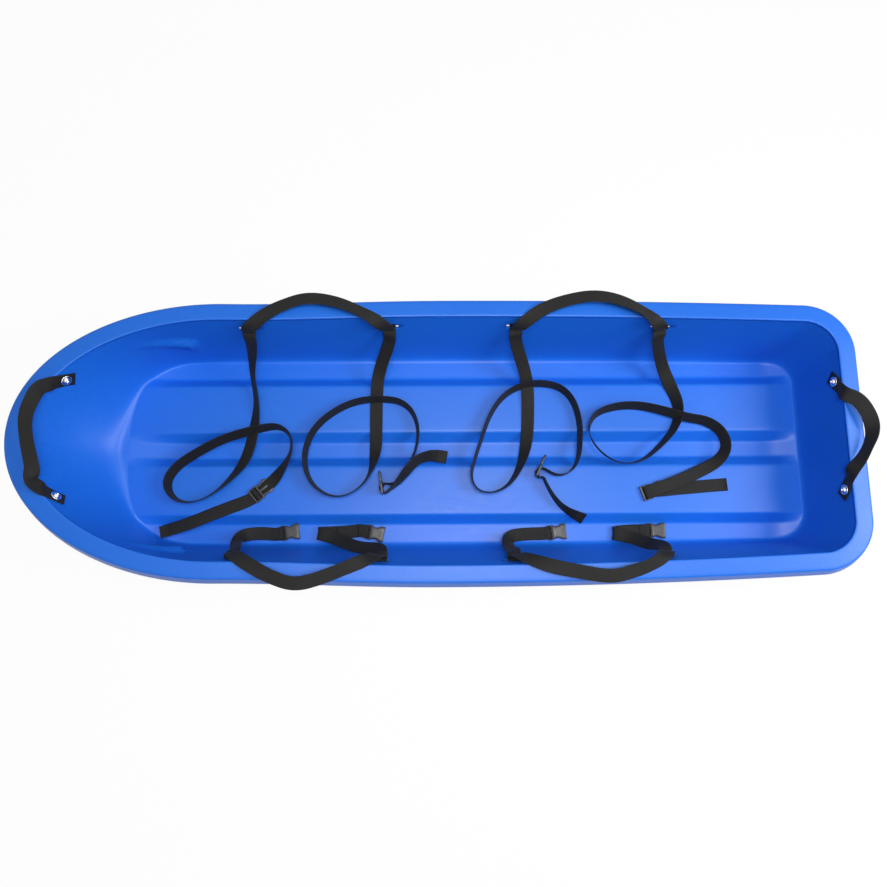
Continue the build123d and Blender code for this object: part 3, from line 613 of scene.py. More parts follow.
def buildHull():
    bm = bmesh.new()
    for side in (1, -1):
        patch = gridPatch(bm, len(stations), len(stations[0].cut),
                          lambda column, row: stations[column].place(row, side))
        lines = {vert: (column, row) for vert, column, row in patch}
        holes = []
        for face in facesOf(lines):
            rows = [lines[vert][1] for vert in face.verts]
            flat = all(abs(stations[lines[vert][0]].normal[1]) > 0.999 for vert in face.verts)
            x = face.calc_center_median().x / mm
            if flat and min(rows) >= slotRow and max(rows) <= slotRow + 2:
                if any(abs(x - middle) < hull["slotLength"] / 2 for middle in slotMiddles(side)):
                    holes.append(face)
        bmesh.ops.delete(bm, geom=holes, context="FACES")

        def panPlace(column, row):
            foot = stations[column].foot
            y = min(hull["across"][row], foot[1])
            return Vector((foot[0], side * y, panHeight(foot[0], y))) * mm
        gridPatch(bm, panEnd, len(hull["across"]), panPlace)
    bmesh.ops.remove_doubles(bm, verts=bm.verts, dist=hull["seam"] * mm)
    bmesh.ops.dissolve_degenerate(bm, edges=bm.edges, dist=hull["speck"] * mm)
    bmesh.ops.recalc_face_normals(bm, faces=bm.faces)
    level = max(bm.faces, key=lambda face: face.calc_area() if abs(face.normal.z) > 0.99 else 0)
    if level.normal.z < 0:
        bmesh.ops.reverse_faces(bm, faces=bm.faces)
    bmesh.ops.solidify(bm, geom=bm.faces[:], thickness=hull["wall"] * mm)
    return bm


hullShell = newPiece("hull_shell", buildHull(), "hull_shell")
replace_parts(hullShell, "hull")
print("hull", len(hullShell.data.polygons), "faces")

# Webbing: flat straps along smooth lines, each stop of a route (x, y, z, way) with the way its width lies

webbing = {"width": 25, "thick": 1.6, "steps": 7, "pinRadius": 1.7, "pinLength": 44, "pinGap": 1.3,
           "turnRadius": 2.0, "turnGap": 0.1, "shortest": 1.2}


def smoothLine(points):
    curve = bpy.data.curves.new("line", "CURVE")
    curve.dimensions = "3D"
    curve.resolution_u = webbing["steps"]
    spline = curve.splines.new("NURBS")
    spline.points.add(len(points) - 1)
    for spot, point in zip(spline.points, points):
        spot.co = (*point, 1)
    spline.order_u = 3
    spline.use_endpoint_u = True
    holder = bpy.data.objects.new("line", curve)
    scene.collection.objects.link(holder)
    mesh = bpy.data.meshes.new_from_object(holder)
    line = [vert.co.copy() for vert in mesh.vertices]
    bpy.data.objects.remove(holder)
    bpy.data.meshes.remove(mesh)
    return line


def squareTo(tangent, way):
    return (way - tangent * way.dot(tangent)).normalized()


def headingAt(line, index):
    return (line[min(len(line) - 1, index + 1)] - line[max(0, index - 1)]).normalized()


def widthWay(tangent, way):
    # a lean in degrees from lying flat, or a direction
    if isinstance(way, (int, float)):
        flat = Vector((-tangent.y, tangent.x, 0)).normalized()
        lean = math.radians(way)
        return flat * math.cos(lean) + tangent.cross(flat) * math.sin(lean)
    return squareTo(tangent, Vector(way))


class Strap:
    # a smooth line through a route's stops, with the way its width lies all along it
    def __init__(self, route):
        points = [Vector(stop[:3]) * mm for stop in route]
        ways = []
        for index, stop in enumerate(route):
            way = widthWay(headingAt(points, index), stop[3])
            if ways and way.dot(ways[-1]) < -0.2:
                way = -way
            ways.append(way)
        self.line = smoothLine(points)
        wide = smoothLine(ways)
        self.marks = [0.0]
        for before, here in zip(self.line, self.line[1:]):
            self.marks.append(self.marks[-1] + (here - before).length)
        self.length = self.marks[-1]
        self.wide = [squareTo(headingAt(self.line, index), way) for index, way in enumerate(wide)]

    def at(self, distance):
        # place, width, face and tangent at a distance along
        index = clamp(sum(1 for mark in self.marks if mark <= distance) - 1, 0, len(self.line) - 2)
        share = (distance - self.marks[index]) / max(1e-9, self.marks[index + 1] - self.marks[index])
        middle = self.line[index].lerp(self.line[index + 1], share)
        near, far = max(0, index - (share < 0.5)), min(len(self.line) - 1, index + 1 + (share >= 0.5))
        tangent = (self.line[far] - self.line[near]).normalized()
        wide = squareTo(tangent, self.wide[index].lerp(self.wide[index + 1], share))
        return middle, wide, tangent.cross(wide), tangent


def crossSection(width, thick):
    # a flat strip with rolled edges
    half, low = width / 2 * mm, thick / 2 * mm
    rim = [(half, 0), (half - 0.0002, low * 0.72), (half - 0.0009, low * 1.05), (half * 0.7, low * 0.97),
           (half * 0.3, low)]
    top = rim + [(-x, y) for x, y in reversed(rim)]
    return top + [(x, -y) for x, y in reversed(top[1:-1])]


def addWebbing(bm, strap, start=0.0, end=None, raised=0.0):
    # a closed strip along a strap, with its weave's coordinates: one turn of u and v is one width
    end = strap.length if end is None else end
    room = webbing["shortest"] * mm
    marks = [start] + [mark for mark in strap.marks if start + room < mark < end - room] + [end]
    outline = crossSection(webbing["width"], webbing["thick"])
    rings = len(outline)
    stops = [strap.at(mark) for mark in marks]

    def place(column, row):
        middle, wide, face, _ = stops[column]
        x, y = outline[row % rings]
        return middle + wide * x + face * (y + raised)
    patch = gridPatch(bm, len(stops), rings + 1, place)
    layer = bm.loops.layers.uv.get("weave") or bm.loops.layers.uv.new("weave")
    half = webbing["width"] * mm
    chart = {vert: (marks[column] / half, outline[row % rings][0] / half + 0.5)
             for vert, column, row in patch}
    for face in facesOf(chart):
        for loop in face.loops:
            loop[layer].uv = chart[loop.vert]
    ordered = sorted(patch, key=lambda spot: spot[2])
    for column in (0, len(stops) - 1):
        ring = [vert for vert, here, row in ordered if here == column and row < rings]
        cap = bm.faces.new(ring)
        for loop in cap.loops:
            loop[layer].uv = chart[loop.vert]
    bmesh.ops.remove_doubles(bm, verts=[vert for vert, column, row in patch], dist=1e-6)


def webbingPiece(name, strap, body="sled"):
    bm = bmesh.new()
    addWebbing(bm, strap)
    return newPiece(name, bm, "webbing", body)


threadBead = (0.00115, 0.00042, 0.0004, 1)  # half-sizes of one stitch, in metres
threadLift = 0.001  # from the webbing's middle to the stitches, in metres


def addStitches(bm, strap, rows, raised, lengthwise=False):
    # short raised beads of thread, in rows across the webbing or lines along it
    for distance, share in rows:
        middle, wide, face, tangent = strap.at(distance)
        centre = middle + wide * share * webbing["width"] * mm / 2 + face * raised
        turn = Matrix((tangent, wide, face) if lengthwise else (wide, tangent, face)).transposed().to_4x4()
        shape = Matrix.Translation(centre) @ turn @ Matrix.Diagonal(threadBead)
        bmesh.ops.create_icosphere(bm, subdivisions=1, radius=1, matrix=shape)


def stitchBand(start, rows, gap=2.4, count=8, reach=0.78):
    return [(start + row * gap * mm, -reach + 2 * reach * step / (count - 1))
            for row in range(rows) for step in range(count)]


def stitchLines(start, end, shares=(-0.72, 0.72), gap=3.4):
    steps = max(2, round((end - start) / (gap * mm)))
    return [(mix(start, end, step / steps), share) for share in shares for step in range(steps + 1)]


# Slots: where each strap goes in, over its pin outside the wall

def slotOf(side, place):
    x = place + hull["slotLead"] * side
    z = rimAt(x) - hull["slotBelowRim"]
    cut = Station((x, ridgeHalfAt(x)), (0.0, 1.0))
    face = side * (cut.foot[1] + cut.run * cut.slotShares[1])
    pinY = face + side * (hull["wall"] + webbing["pinRadius"] + webbing["pinGap"])
    step = webbing["turnRadius"] + webbing["thick"] / 2
    return {"side": side, "x": x, "z": z, "face": face, "pinY": pinY, "legZ": z - step, "loopZ": z + step}


slotNames = ("front_fore", "front_aft", "rear_fore", "rear_aft")
slots = {}
for sideName, side in (("starboard", -1), ("port", 1)):
    for name, place in zip(slotNames, hull["slotPlaces"]):
        slots[sideName + "_" + name] = slotOf(side, place)


def slotLeg(slot):
    inner = slot["face"]
    # from the pin through the slot and down inside the wall
    return [(slot["x"], slot["pinY"] - slot["side"] * webbing["turnGap"], slot["legZ"], 0),
            (slot["x"], inner - slot["side"] * 12, slot["legZ"] - 1, 0),
            (slot["x"], inner - slot["side"] * 21, slot["legZ"] - 22, 0)]


def slotLoop(slot, shift):
    # from the pin through the slot and up inside the wall
    inner, way = slot["face"], (shift, 0, 0)
    return [(slot["x"], slot["pinY"] - slot["side"] * webbing["turnGap"], slot["loopZ"], way),
            (slot["x"], inner - slot["side"] * 9, slot["loopZ"] + 0.5, way),
            (slot["x"] - shift * 3, inner - slot["side"] * 10, slot["loopZ"] + 20, way)]

# the way the width lies where a strap folds over on itself, and where it then runs straight
fold = (0.26, 0.96, 0)
sideways = (0, 1, 0)

legRoutes = {
    "starboard_front_fore": [
        (368, -176, 52, 35), (368, -143, 42, 60), (359, -92, 34, 55), (364, -38, 29, 25),
        (376, 18, 29, 20), (400, 55, 35, 50), (438, 91, 36.5, 72), (479, 108, 37, 80),
        (515, 99, 37, 78), (531, 67, 36.5, 66), (512, 34, 35.5, 62), (470, 6, 36, 62),
        (428, -17, 36.5, 62), (388, -30, 38, 60), (349, -40, 38, 64), (313, -46, 37, 72),
        (288, -26, 36.5, 75), (287, 8, 36.5, 66), (303, 38, 34.7, 45), (322, 62, 26, 10),
        (351.7, 87.3, 24.9, 0)],
    "starboard_front_aft": [
        (119, -150, 36, 0), (122, -98, 26, 0), (122, -40, 25.5, 0), (122, 6, 29, 20),
        (130, 48, 36, 70), (152, 80, 37, 78), (188, 98, 37, 80), (225, 89, 37, 80),
        (254, 60, 37, 78), (264, 10, 37, 76), (243, -44, 37, 74), (193, -82, 37.5, 74),
        (147, -97, 40, 72), (104, -98, 39, 72), (74, -94, 37, 72), (50, -75, 37, 74),
        (38, -42, 37, 76), (40, -4, 37, 76), (52, 26, 37, 76), (70, 54, 38, 84), (86, 73, 39, 90),
        (106.5, 76, 39, 90)],
    "starboard_rear_fore": [
        (-181, -138, 32, 0), (-181, -75, 26, 0), (-177, -14, 28, 20), (-165, 32, 35, 58),
        (-142, 73, 37, 76), (-109, 91, 37, 80), (-78, 85, 37, 80), (-64, 58, 37, 80),
        (-74, 20, 37, 78), (-88, -22, 37, 76), (-104, -66, 37, 76), (-130, -104, 38, 74),
        (-168, -125, 43, 72), (-208, -129, 42, 72), (-246, -121, 38, 74), (-270, -95, 37, 76),
        (-281, -55, 37, 76), (-281, -12, 37, 76), (-275, 28, 37, 80), (-258, 52, 38, 88),
        (-232, 58, 39, 90), (-200.3, 45.3, 39, 90)],
    "starboard_rear_aft": [
        (-449, -158, 42, 10), (-467, -122, 32, 35), (-481, -84, 33, 50), (-474, -44, 36, 62),
        (-441, -4, 36.5, 72), (-397, 32, 37, 80), (-352, 33, 37, 80), (-315, 7, 37, 80),
        (-296, -30, 37, 76), (-309, -66, 37, 68), (-351, -82, 36.5, 64), (-397, -84, 38, 64),
        (-444, -72, 43, 62), (-491, -57, 42, 60), (-533, -52, 37, 56), (-562, -30, 36, 56),
        (-570, 2, 35.5, 55), (-553, 28, 32, 30), (-519, 46, 31, 5), (-478, 65, 35, 0),
        (-440, 79, 36.5, 0), (-418, 86.2, 35.5, 0), (-405.4, 90.4, 31.3, 0)],
    "port_front_fore": [
        (384, 183, 50, 10), (379, 169.5, 25, 15), (362, 165, 11, 8), (338, 164.6, 9.6, 0),
        (308.7, 164.5, 9.8, 0)],
    "port_front_aft": [
        (150, 195, 60, 25), (184, 182, 32, 15), (208, 172.5, 20, 5), (222, 168.5, 18.5, fold),
        (230, 166.3, 17, fold), (234.5, 165.3, 14.5, fold), (234.5, 164.9, 10.6, sideways),
        (230, 164.5, 8.2, sideways), (221, 164.2, 7.2, sideways), (204, 163.7, 6.8, sideways),
        (176, 162.6, 8, sideways), (142, 161.7, 8.9, sideways)],
    "port_rear_fore": [
        (-136, 198, 56, 10), (-134, 180, 26, 15), (-146, 171, 11, 8), (-172, 168, 8.9, 0),
        (-214.8, 166.5, 8.9, 0)],
    "port_rear_aft": [
        (-402, 190.5, 56, 10), (-384, 180.5, 34, 10), (-366, 174.5, 21.5, 5),
        (-355, 171, 18.5, fold), (-348, 169, 17, fold), (-343.5, 167.8, 14.4, fold),
        (-343.5, 166.8, 10.4, sideways), (-348, 165.8, 8, sideways), (-356, 164.7, 7, sideways),
        (-372, 163.3, 6.8, sideways), (-388, 162.8, 8, sideways), (-409.2, 162.6, 8.9, sideways)],
}

tailRoutes = {
    "front_fore": [
        (358.2, 92.9, 24.9, 0), (376, 104, 25.4, 0), (403, 114, 26, 0), (440, 128, 26, 0),
        (488, 148, 26.5, 8), (540, 163, 24, 12)],
    "front_aft": [
        (105.2, 85, 39, 90), (92, 82.5, 39.4, 85), (76, 69, 47, 70), (61, 50, 53.5, 55),
        (45, 30, 50, 50), (24, 17, 38.5, 50), (4, 14, 32, 35), (-18, 18, 25.5, 5)],
    "rear_fore": [
        (-196.6, 53.8, 39, 90), (-206, 59, 39, 90), (-211, 72, 38, 88), (-219, 88, 38, 85),
        (-229, 104, 38, 80), (-242, 118, 37, 74), (-260, 130, 35, 62), (-283, 141, 31, 35)],
    "rear_aft": [
        (-412.5, 87.9, 31.2, 0), (-440, 85, 31.6, 0), (-466, 82, 28, 0), (-492, 80, 25.2, 0),
        (-525, 77, 25.2, 0), (-568, 74, 25.2, 0)],
}

loopRoutes = {
    "starboard_front": [
        (319, -228.1, 165.9, (0.91, -0.41, -0.10)), (285, -244.9, 170.5, (0.57, -0.82, -0.22)),
        (239, -260.2, 171.9, (0.13, -0.99, -0.28)), (185, -253.0, 168.3, (0.01, -1, -0.29)),
        (135, -233.5, 161.2, (0.36, -0.93, -0.25))],
    "starboard_rear": [
        (-191, -236.2, 160.4, (0.89, -0.46, -0.12)), (-235, -252.4, 167.1, (0.47, -0.88, -0.23)),
        (-291, -262.2, 171.2, (0.13, -0.99, -0.28)), (-341, -252.9, 170.3, (0.01, -1, -0.29)),
        (-389, -229.5, 166.6, (0.36, -0.93, -0.25))],
    "port_front": [
        (325, 229.0, 166.2, (0.89, 0.46, -0.12)), (287, 248.8, 170.6, (0.47, 0.88, -0.23)),
        (247, 262.0, 171.2, (0.13, 0.99, -0.28)), (204, 251.3, 167.8, (0.01, 1, -0.29)),
        (157, 231.9, 160.7, (0.36, 0.93, -0.25))],
    "port_rear": [
        (-195, 231.1, 160.4, (0.83, 0.56, -0.14)), (-247, 241.2, 166.3, (0.36, 0.93, -0.25)),
        (-301, 251.0, 170.4, (0.13, 0.99, -0.28)), (-341, 240.9, 168.3, (0.01, 1, -0.29)),
        (-379, 227.8, 165.8, (0.36, 0.93, -0.25))],
}

# Buckles: middle, heading of the prongs or the open end, and which way the buckle's own Z faces

malePlaces = {
    "front_fore": ((345.5, 82, 28), (-0.76, -0.65, 0), (0, 0, 1)),
    "front_aft": ((110, 69, 39), (0.14, -0.99, 0), (0.99, 0.14, 0)),
    "rear_fore": ((-201, 37.5, 39), (-0.405, -0.914, 0), (0.914, -0.405, 0)),
    "rear_aft": ((-420, 86, 28.2), (-0.95, -0.31, 0), (0, 0, -1)),
}
femalePlaces = {
    "front_fore": ((290, 162.8, 9.8), (-0.991, -0.131, 0), (0, 0, 1)),
    "front_aft": ((123.5, 165.2, 8.9), (-0.982, 0.19, 0), (0, 0, 1)),
    "rear_fore": ((-233.5, 164.6, 8.9), (-0.995, -0.1, 0), (0, 0, 1)),
    "rear_aft": ((-428, 162.6, 8.9), (-1, 0, 0), (0, 0, 1)),
}
male = {"half": 14.8, "window": 12.8, "thick": 4.4, "round": 0.7, "prongThick": 3.6,
        "ribs": (-1.4, 0.6, 2.6)}
female = {"thick": 9, "window": 12.8, "rod": 1.9, "shoulder": 0.42, "pads": (9.2, 11.2, 13.2)}


def buildMale(place):
    bm = bmesh.new()
    half, window, thick = male["half"], male["window"], male["thick"] / 2
    xs = (-22, -18.5, -14.2, -9.55, -5.25, -1.8)
    ys = (-half, -window, window, half)
    holes = [(x0, x1, -window, window) for x0, x1 in ((-18.5, -14.2), (-9.55, -5.25))]
    latticePlate(bm, xs, ys, -thick, thick, holes, male["round"])
    prong = male["prongThick"] / 2
    spring = [(-3.4, 12.6), (3, 12.9), (9, 13.3), (12.6, 15.3), (14.4, 15.6), (17, 14.9), (20.6, 13.0),
              (22, 11.6), (21.6, 10.6), (18, 10.3), (13, 10.1), (6, 9.4), (-3.4, 8.2)]
    for flip in (1, -1):
        line = [(x, y * flip) for x, y in spring]
        outlinePlate(bm, line if flip > 0 else line[::-1], -prong, prong, 0.6)
        for x in male["ribs"]:  # grip ribs at the root of each prong
            rib = [(x - 0.45, 10.6 * flip), (x + 0.45, 10.6 * flip), (x + 0.45, 12.9 * flip),
                   (x - 0.45, 12.9 * flip)]
            outlinePlate(bm, rib if flip > 0 else rib[::-1], -prong - 0.35, prong + 0.35, 0.3)
    guide = [(-3.4, -2.5), (12, -2.5), (15, -1.9), (16, -0.9), (16, 0.9), (15, 1.9), (12, 2.5), (-3.4, 2.5)]
    outlinePlate(bm, guide, -prong, prong, 0.6)
    bmesh.ops.recalc_face_normals(bm, faces=bm.faces)
    placed(bm, bm.verts, place)
    return bm


def ringAt(bm, x, half, low, soft, count=40):
    # one upright ring of a buckle's body: a flattened oval with squared shoulders
    ring = bmesh.ops.create_circle(bm, segments=count, radius=1)["verts"]
    for vert in ring:
        turn = math.atan2(vert.co.y, vert.co.x)
        c, s = math.cos(turn), math.sin(turn)
        vert.co = (x, half * math.copysign(abs(c) ** soft, c), low * math.copysign(abs(s) ** soft, s))
    return ring, edgesOf(ring)


def buildFemale(place):
    bm = bmesh.new()
    tall = female["thick"] / 2
    outside = [(-9.2, 13.6, 3.3), (-8.2, 14.1, 3.9), (-6.4, 13.4, 4.3), (-4, 11.9, tall), (-1, 11.4, tall),
               (3, 11.4, tall), (5.4, 12.4, tall), (8, 14.3, tall), (11, 15.2, tall), (15, 15.6, 4.4),
               (16.8, 15.4, 4.1), (17.7, 14.9, 3.7)]
    inside = [(17.6, 13.6, 2.9), (16.6, 13.2, 2.7), (8, 12.9, 2.7), (4, 10.4, 2.7), (-6.5, 10.4, 2.7)]
    rings = [ringAt(bm, x, half, low, female["shoulder"]) for x, half, low in outside + inside]
    for (_, near), (_, far) in zip(rings, rings[1:]):
        bmesh.ops.bridge_loops(bm, edges=near + far)
    for ring, _ in (rings[0], rings[-1]):
        bmesh.ops.contextual_create(bm, geom=ring)
    window = female["window"]
    xs, ys = (-18, -15.6, -15.0, -10.2, -8.2), (-14.5, -window, window, 14.5)
    holes = [(-15.0, -10.2, -window, window), (-18, -15.0, -window, window)]
    latticePlate(bm, xs, ys, -2.4, 2.4, holes, 0.7)
    radius = female["rod"]
    rod = bmesh.ops.create_cone(bm, cap_ends=True, segments=20, radius1=radius, radius2=radius,
                                depth=2 * window + 0.6)["verts"]
    across = Matrix.Translation((-16, 0, 0)) @ Matrix.Rotation(math.pi / 2, 4, "X")
    bmesh.ops.transform(bm, verts=rod, matrix=across)
    for flip in (1, -1):  # ridges on both faces for the thumb
        for x in female["pads"]:
            pad = [(x - 0.5, -5.5), (x + 0.5, -5.5), (x + 0.5, 5.5), (x - 0.5, 5.5)]
            low, high = (tall - 0.3, tall + 0.25) if flip > 0 else (-tall - 0.25, -tall + 0.3)
            outlinePlate(bm, pad, low, high, 0.2)
    bmesh.ops.recalc_face_normals(bm, faces=bm.faces)
    placed(bm, bm.verts, place)
    return bm


def buckleSpot(place, x, z):
    middle, heading, facing = (Vector(part) for part in place)
    heading.normalize()
    spot = middle + heading * x + facing.normalized() * z
    side = facing.cross(heading).normalized()
    return (*spot, tuple(side))


def declareCord(strap):
    tuple(strap.line[0])
    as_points(strap.line)


# Starboard straps: leg, once through the ladder of the male buckle, and the loose tail

wrap = {"near": -7.4, "far": -16.5, "under": -3.3, "over": 4.1}  # the ladder's two windows, below and above
for name, place in malePlaces.items():
    key = "starboard_" + name
    leg, tail = legRoutes[key], tailRoutes[name]
    if name == "rear_aft":  # this buckle lies upside down, and the webbing comes to its far window first
        before, enter, leave, after = [], wrap["far"], wrap["near"], buckleSpot(place, -1.0, -3.2)
    else:
        before, enter, leave = [buckleSpot(place, -1.5, -3.2)], wrap["near"], wrap["far"]
        after = buckleSpot(place, -23.5, -3.2)
    turns = [buckleSpot(place, x, z) for x, z in ((enter, wrap["under"]), (enter, wrap["over"]),
                                                  (leave, wrap["over"]), (leave, wrap["under"]))]
    strap = Strap(slotLeg(slots[key]) + leg[:-1] + before + turns + [after] + tail[1:])
    piece = webbingPiece(key + "_strap", strap)
    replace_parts(piece, key + "_leg", key + "_wrap", key + "_tail")
    buckle = newPiece(key + "_buckle", buildMale(place), "buckle_plastic")
    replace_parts(buckle, key + "_male_buckle")
    thread = bmesh.new()
    rows = stitchBand(strap.length - 0.016, 3, 3.0)
    addStitches(thread, strap, rows, threadLift)
    addStitches(thread, strap, rows, -threadLift)
    stitches = newPiece(key + "_stitches", thread, "thread")
    declareCord(strap)
    print(key, "strap", round(strap.length, 3))

# Port straps: short legs, each sewn round the bar of its female buckle

sewn = {"length": 62, "bar": 19, "lift": -1.7,
        "toBar": ((-30, 0.85), (-22, 2.0), (-16.5, 3.0), (-13.2, 2.4)),
        "back": ((-13, 2.4), (-11.6, 0.8), (-11.6, -1.6), (-14.5, -3.1), (-22, -2.2), (-30, -0.9))}
for name, place in femalePlaces.items():
    key = "port_" + name
    toBar = [buckleSpot(place, x, z) for x, z in sewn["toBar"]]
    strap = Strap(slotLeg(slots[key]) + legRoutes[key][:-1] + toBar)
    piece = webbingPiece(key + "_strap", strap)
    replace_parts(piece, key + "_leg")
    buckle = newPiece(key + "_buckle", buildFemale(place), "buckle_plastic")
    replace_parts(buckle, key + "_female_buckle")
    # the sewn end comes back under the leg
    back = Strap([buckleSpot(place, x, z) for x, z in sewn["back"]])
    bm = bmesh.new()
    addWebbing(bm, back)
    first, bar = strap.length - sewn["length"] * mm, strap.length - sewn["bar"] * mm
    addWebbing(bm, strap, first, bar, raised=sewn["lift"] * mm)
    under = newPiece(key + "_sewn_end", bm, "webbing")
    thread = bmesh.new()
    addStitches(thread, strap, stitchBand(bar - 0.012, 3) + stitchBand(first + 0.003, 2), threadLift)
    addStitches(thread, strap, stitchLines(first + 0.004, bar - 0.013), threadLift, lengthwise=True)
    stitches = newPiece(key + "_stitches", thread, "thread")
    declareCord(strap)
    print(key, "strap", round(strap.length, 3))

# Carrying loops over the flange, and the turns of webbing round the slot pins

for name, middle in loopRoutes.items():
    fore, aft = slots[name + "_fore"], slots[name + "_aft"]
    strap = Strap(slotLoop(fore, 1) + middle + slotLoop(aft, -1)[::-1])
    piece = webbingPiece(name + "_carry_loop", strap)
    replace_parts(piece, name + "_loop")
    declareCord(strap)
    print(name, "loop", round(strap.length, 3))


def pinTurn(slot):
    # the webbing's way round the outside of a pin
    reach = webbing["turnRadius"] + webbing["thick"] / 2
    route = []
    for angle in (-90, -60, -20, 20, 60, 90):
        turn = math.radians(angle)
        far = reach / math.cos(math.radians(22)) if abs(angle) < 90 else reach  # the line cuts its corners
        out = slot["side"] * (far * math.cos(turn) - webbing["turnGap"])
        route.append((slot["x"], slot["pinY"] + out, slot["z"] + far * math.sin(turn), (1, 0, 0)))
    return Strap(route)


def addPin(bm, slot):
    known, radius = set(bm.verts), webbing["pinRadius"]
    rod = bmesh.ops.create_cone(bm, cap_ends=True, segments=24, radius1=radius, radius2=radius,
                                depth=webbing["pinLength"])["verts"]
    roundEdges(bm, levelEdges(rod), 0.5)
    spot = (slot["x"], slot["pinY"], slot["z"])
    placed(bm, addedSince(bm, known), (spot, (0, 0, 1), (1, 0, 0)))


for sideName, side in (("starboard", -1), ("port", 1)):
    turns, pins = bmesh.new(), bmesh.new()
    for slot in slots.values():
        if slot["side"] == side:
            addWebbing(turns, pinTurn(slot))
            addPin(pins, slot)
    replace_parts(newPiece(sideName + "_slot_webbing", turns, "webbing"), sideName + "_slot_turns")
    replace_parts(newPiece(sideName + "_pins", pins, "steel"), sideName + "_slot_pins")
print("slots, turns and pins")

# Webbing handles, bolted through the end walls, and their bolts, washers and nuts

bolts = {
    "bow": {"spot": (675.797, 107.085, 162.624), "facing": (0.703788, 0.618912, -0.348757), "turn": 44,
            "reach": 37, "wall": 5.5, "lift": 4.2, "lead": 14, "hinge": (695.04, 0, 189.898),
            "leaving": (0.585, 0, 0.811)},
    "stern": {"spot": (-730.908, 99.5, 151.0), "facing": (-0.994572, 0, -0.104047), "turn": 45,
              "reach": 30, "wall": 4.6, "lift": 2.6, "lead": 14, "hinge": (-728.063, 0, 172.627),
              "leaving": (-0.3, 0, 0.95)},
}
handleRows = {
    "bow": [
        (708, -62, 207, -20), (716, -32, 210, -5), (712, 2, 210, 5), (704, 36, 207, 0),
        (698, 62, 202, -10)],
    "stern": [
        (-746, -60, 188, 35), (-759, -40, 190, 25), (-767, -16, 190, 35), (-766, 8, 189, 62),
        (-755, 30, 188, 74), (-743, 50, 186, 60)],
}
tab = {"gap": 1.3, "below": 16, "flat": 17, "before": 7, "past": 12, "rise": 3.2, "blend": 10}
bolt = {"radius": 3, "headRadius": 5.5, "headHigh": 3.4, "long": 17, "washer": 9.5, "washerThick": 1.5,
        "nut": 5.8, "nutThick": 5}


class Tab:
    # the bolted end of a handle: its X runs up the wall and over to the middle, its Z into the hull
    def __init__(self, look, side):
        spot, facing = Vector(look["spot"]), Vector(look["facing"])
        spot.y, facing.y = spot.y * side, facing.y * side
        up = (Vector((0, 0, 1)) - facing * facing.z).normalized()
        level = Vector((-facing.y, facing.x, 0)).normalized()
        if level.y * spot.y > 0:
            level = -level
        turn = math.radians(look["turn"])
        self.along = up * math.cos(turn) + level * math.sin(turn)
        self.inward = -facing
        self.origin = spot - facing * tab["gap"]
        across = self.inward.cross(self.along)
        self.across = tuple(across if across.y > 0 else -across)
        reach, before, past = look["reach"], tab["before"], tab["past"]
        bend = self.point(reach - before, look["lift"])
        last = self.point(reach + past, look["lift"] + tab["rise"])
        self.fold = bend + (last - bend) * (before / (before + past))  # the hinge line crosses here
        self.way = (last - bend).normalized()
        middle = webbing["thick"] / 2
        self.route = [(*self.point(-tab["below"], middle), self.across),
                      (*self.point(reach - tab["flat"], middle), self.across),
                      (*bend, sideways), (*(self.fold + self.way * look["lead"]), sideways)]

    def point(self, along, lift):
        return self.origin + self.along * along + self.inward * lift

    def spot(self, lift):
        return (tuple(self.origin + self.inward * lift), tuple(self.along), tuple(self.inward))


def addTurned(bm, profile, place, closed=False):
    known = set(bm.verts)
    turned(bm, profile + profile[:1] if closed else profile)
    placed(bm, addedSince(bm, known), place)


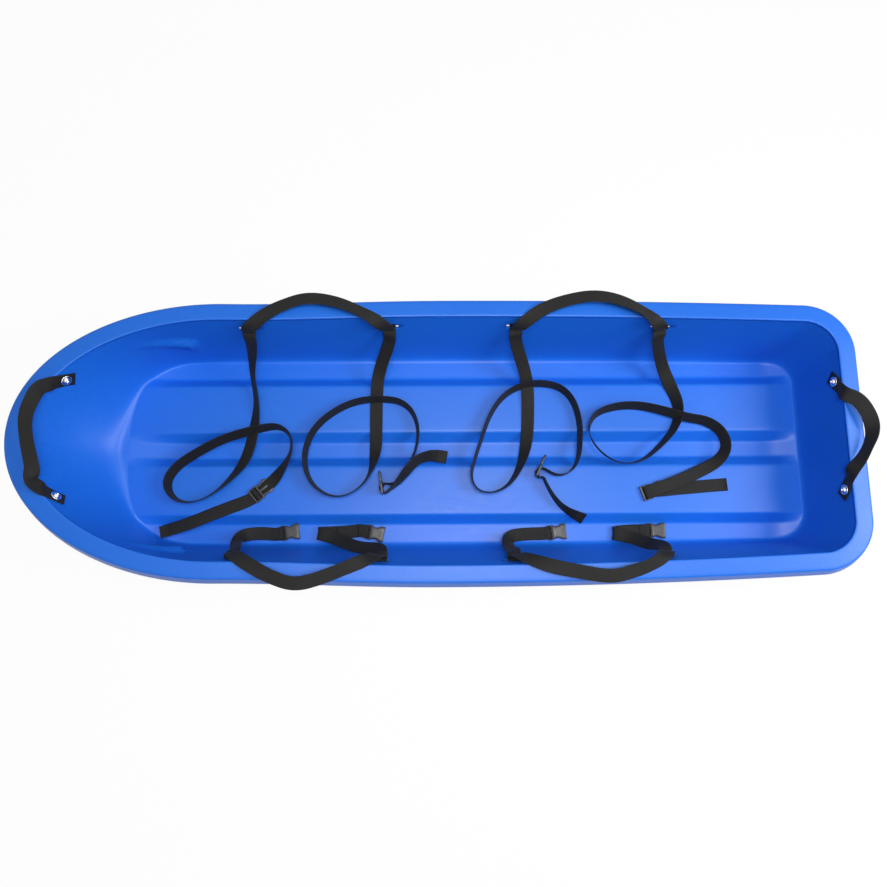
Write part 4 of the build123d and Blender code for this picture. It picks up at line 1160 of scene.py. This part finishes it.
def addNut(bm, place):
    known = set(bm.verts)
    corners = [math.radians(60 * i) for i in range(6)]
    outline = [(bolt["nut"] * math.cos(turn), bolt["nut"] * math.sin(turn)) for turn in corners]
    outlinePlate(bm, outline, 0, bolt["nutThick"], 0.5)
    placed(bm, addedSince(bm, known), place)


def boltShapes():
    # the outlines that are spun into a bolt and a washer, each point (radius, height)
    head, tall, shank, long = bolt["headRadius"], bolt["headHigh"], bolt["radius"], bolt["long"]
    dome = [(0, -long), (shank - 0.6, -long), (shank, -long + 0.6), (shank, 0), (head - 0.2, 0.05),
            (head, 0.5), (5.15, tall - 2.3), (4.5, tall - 1.35), (3.5, tall - 0.5), (2.6, tall - 0.08),
            (2.0, tall), (1.8, tall - 0.15), (1.7, 1.5), (0, 1.5)]
    wide, thick = bolt["washer"], bolt["washerThick"]
    ring = [(3.1, 0), (wide - 0.3, 0), (wide, 0.3), (wide, thick - 0.35), (wide - 0.35, thick),
            (3.1, thick)]
    return dome, ring


dome, ring = boltShapes()
domes, washers, nuts = bmesh.new(), bmesh.new(), bmesh.new()
for end, look in bolts.items():
    tabs = [Tab(look, side) for side in (-1, 1)]
    strap = Strap(tabs[0].route + handleRows[end] + tabs[1].route[::-1])
    piece = webbingPiece(end + "_grab_handle", strap, body=None)
    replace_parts(piece, end + "_handle", end + "_handle_tabs")
    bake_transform(piece)
    declareCord(strap)
    print(end, "handle", round(strap.length, 3))
    inside = webbing["thick"] + 0.12
    outside = -tab["gap"] - look["wall"] - bolt["washerThick"]
    for spot in tabs:
        addTurned(domes, dome, spot.spot(inside + bolt["washerThick"]))
        addTurned(washers, ring, spot.spot(inside), closed=True)
        addTurned(washers, ring, spot.spot(outside), closed=True)
        addNut(nuts, spot.spot(outside - bolt["nutThick"]))
for name, bm, look, node in (("dome_bolts", domes, "bolt_chrome", "handle_bolts"),
                             ("round_washers", washers, "bolt_chrome", "handle_washers"),
                             ("hex_nuts", nuts, "steel", "handle_nuts")):
    bmesh.ops.remove_doubles(bm, verts=bm.verts, dist=1e-6)
    bmesh.ops.recalc_face_normals(bm, faces=bm.faces)
    piece = newPiece(name, bm, look)
    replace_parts(piece, node)
print("handles and bolts")
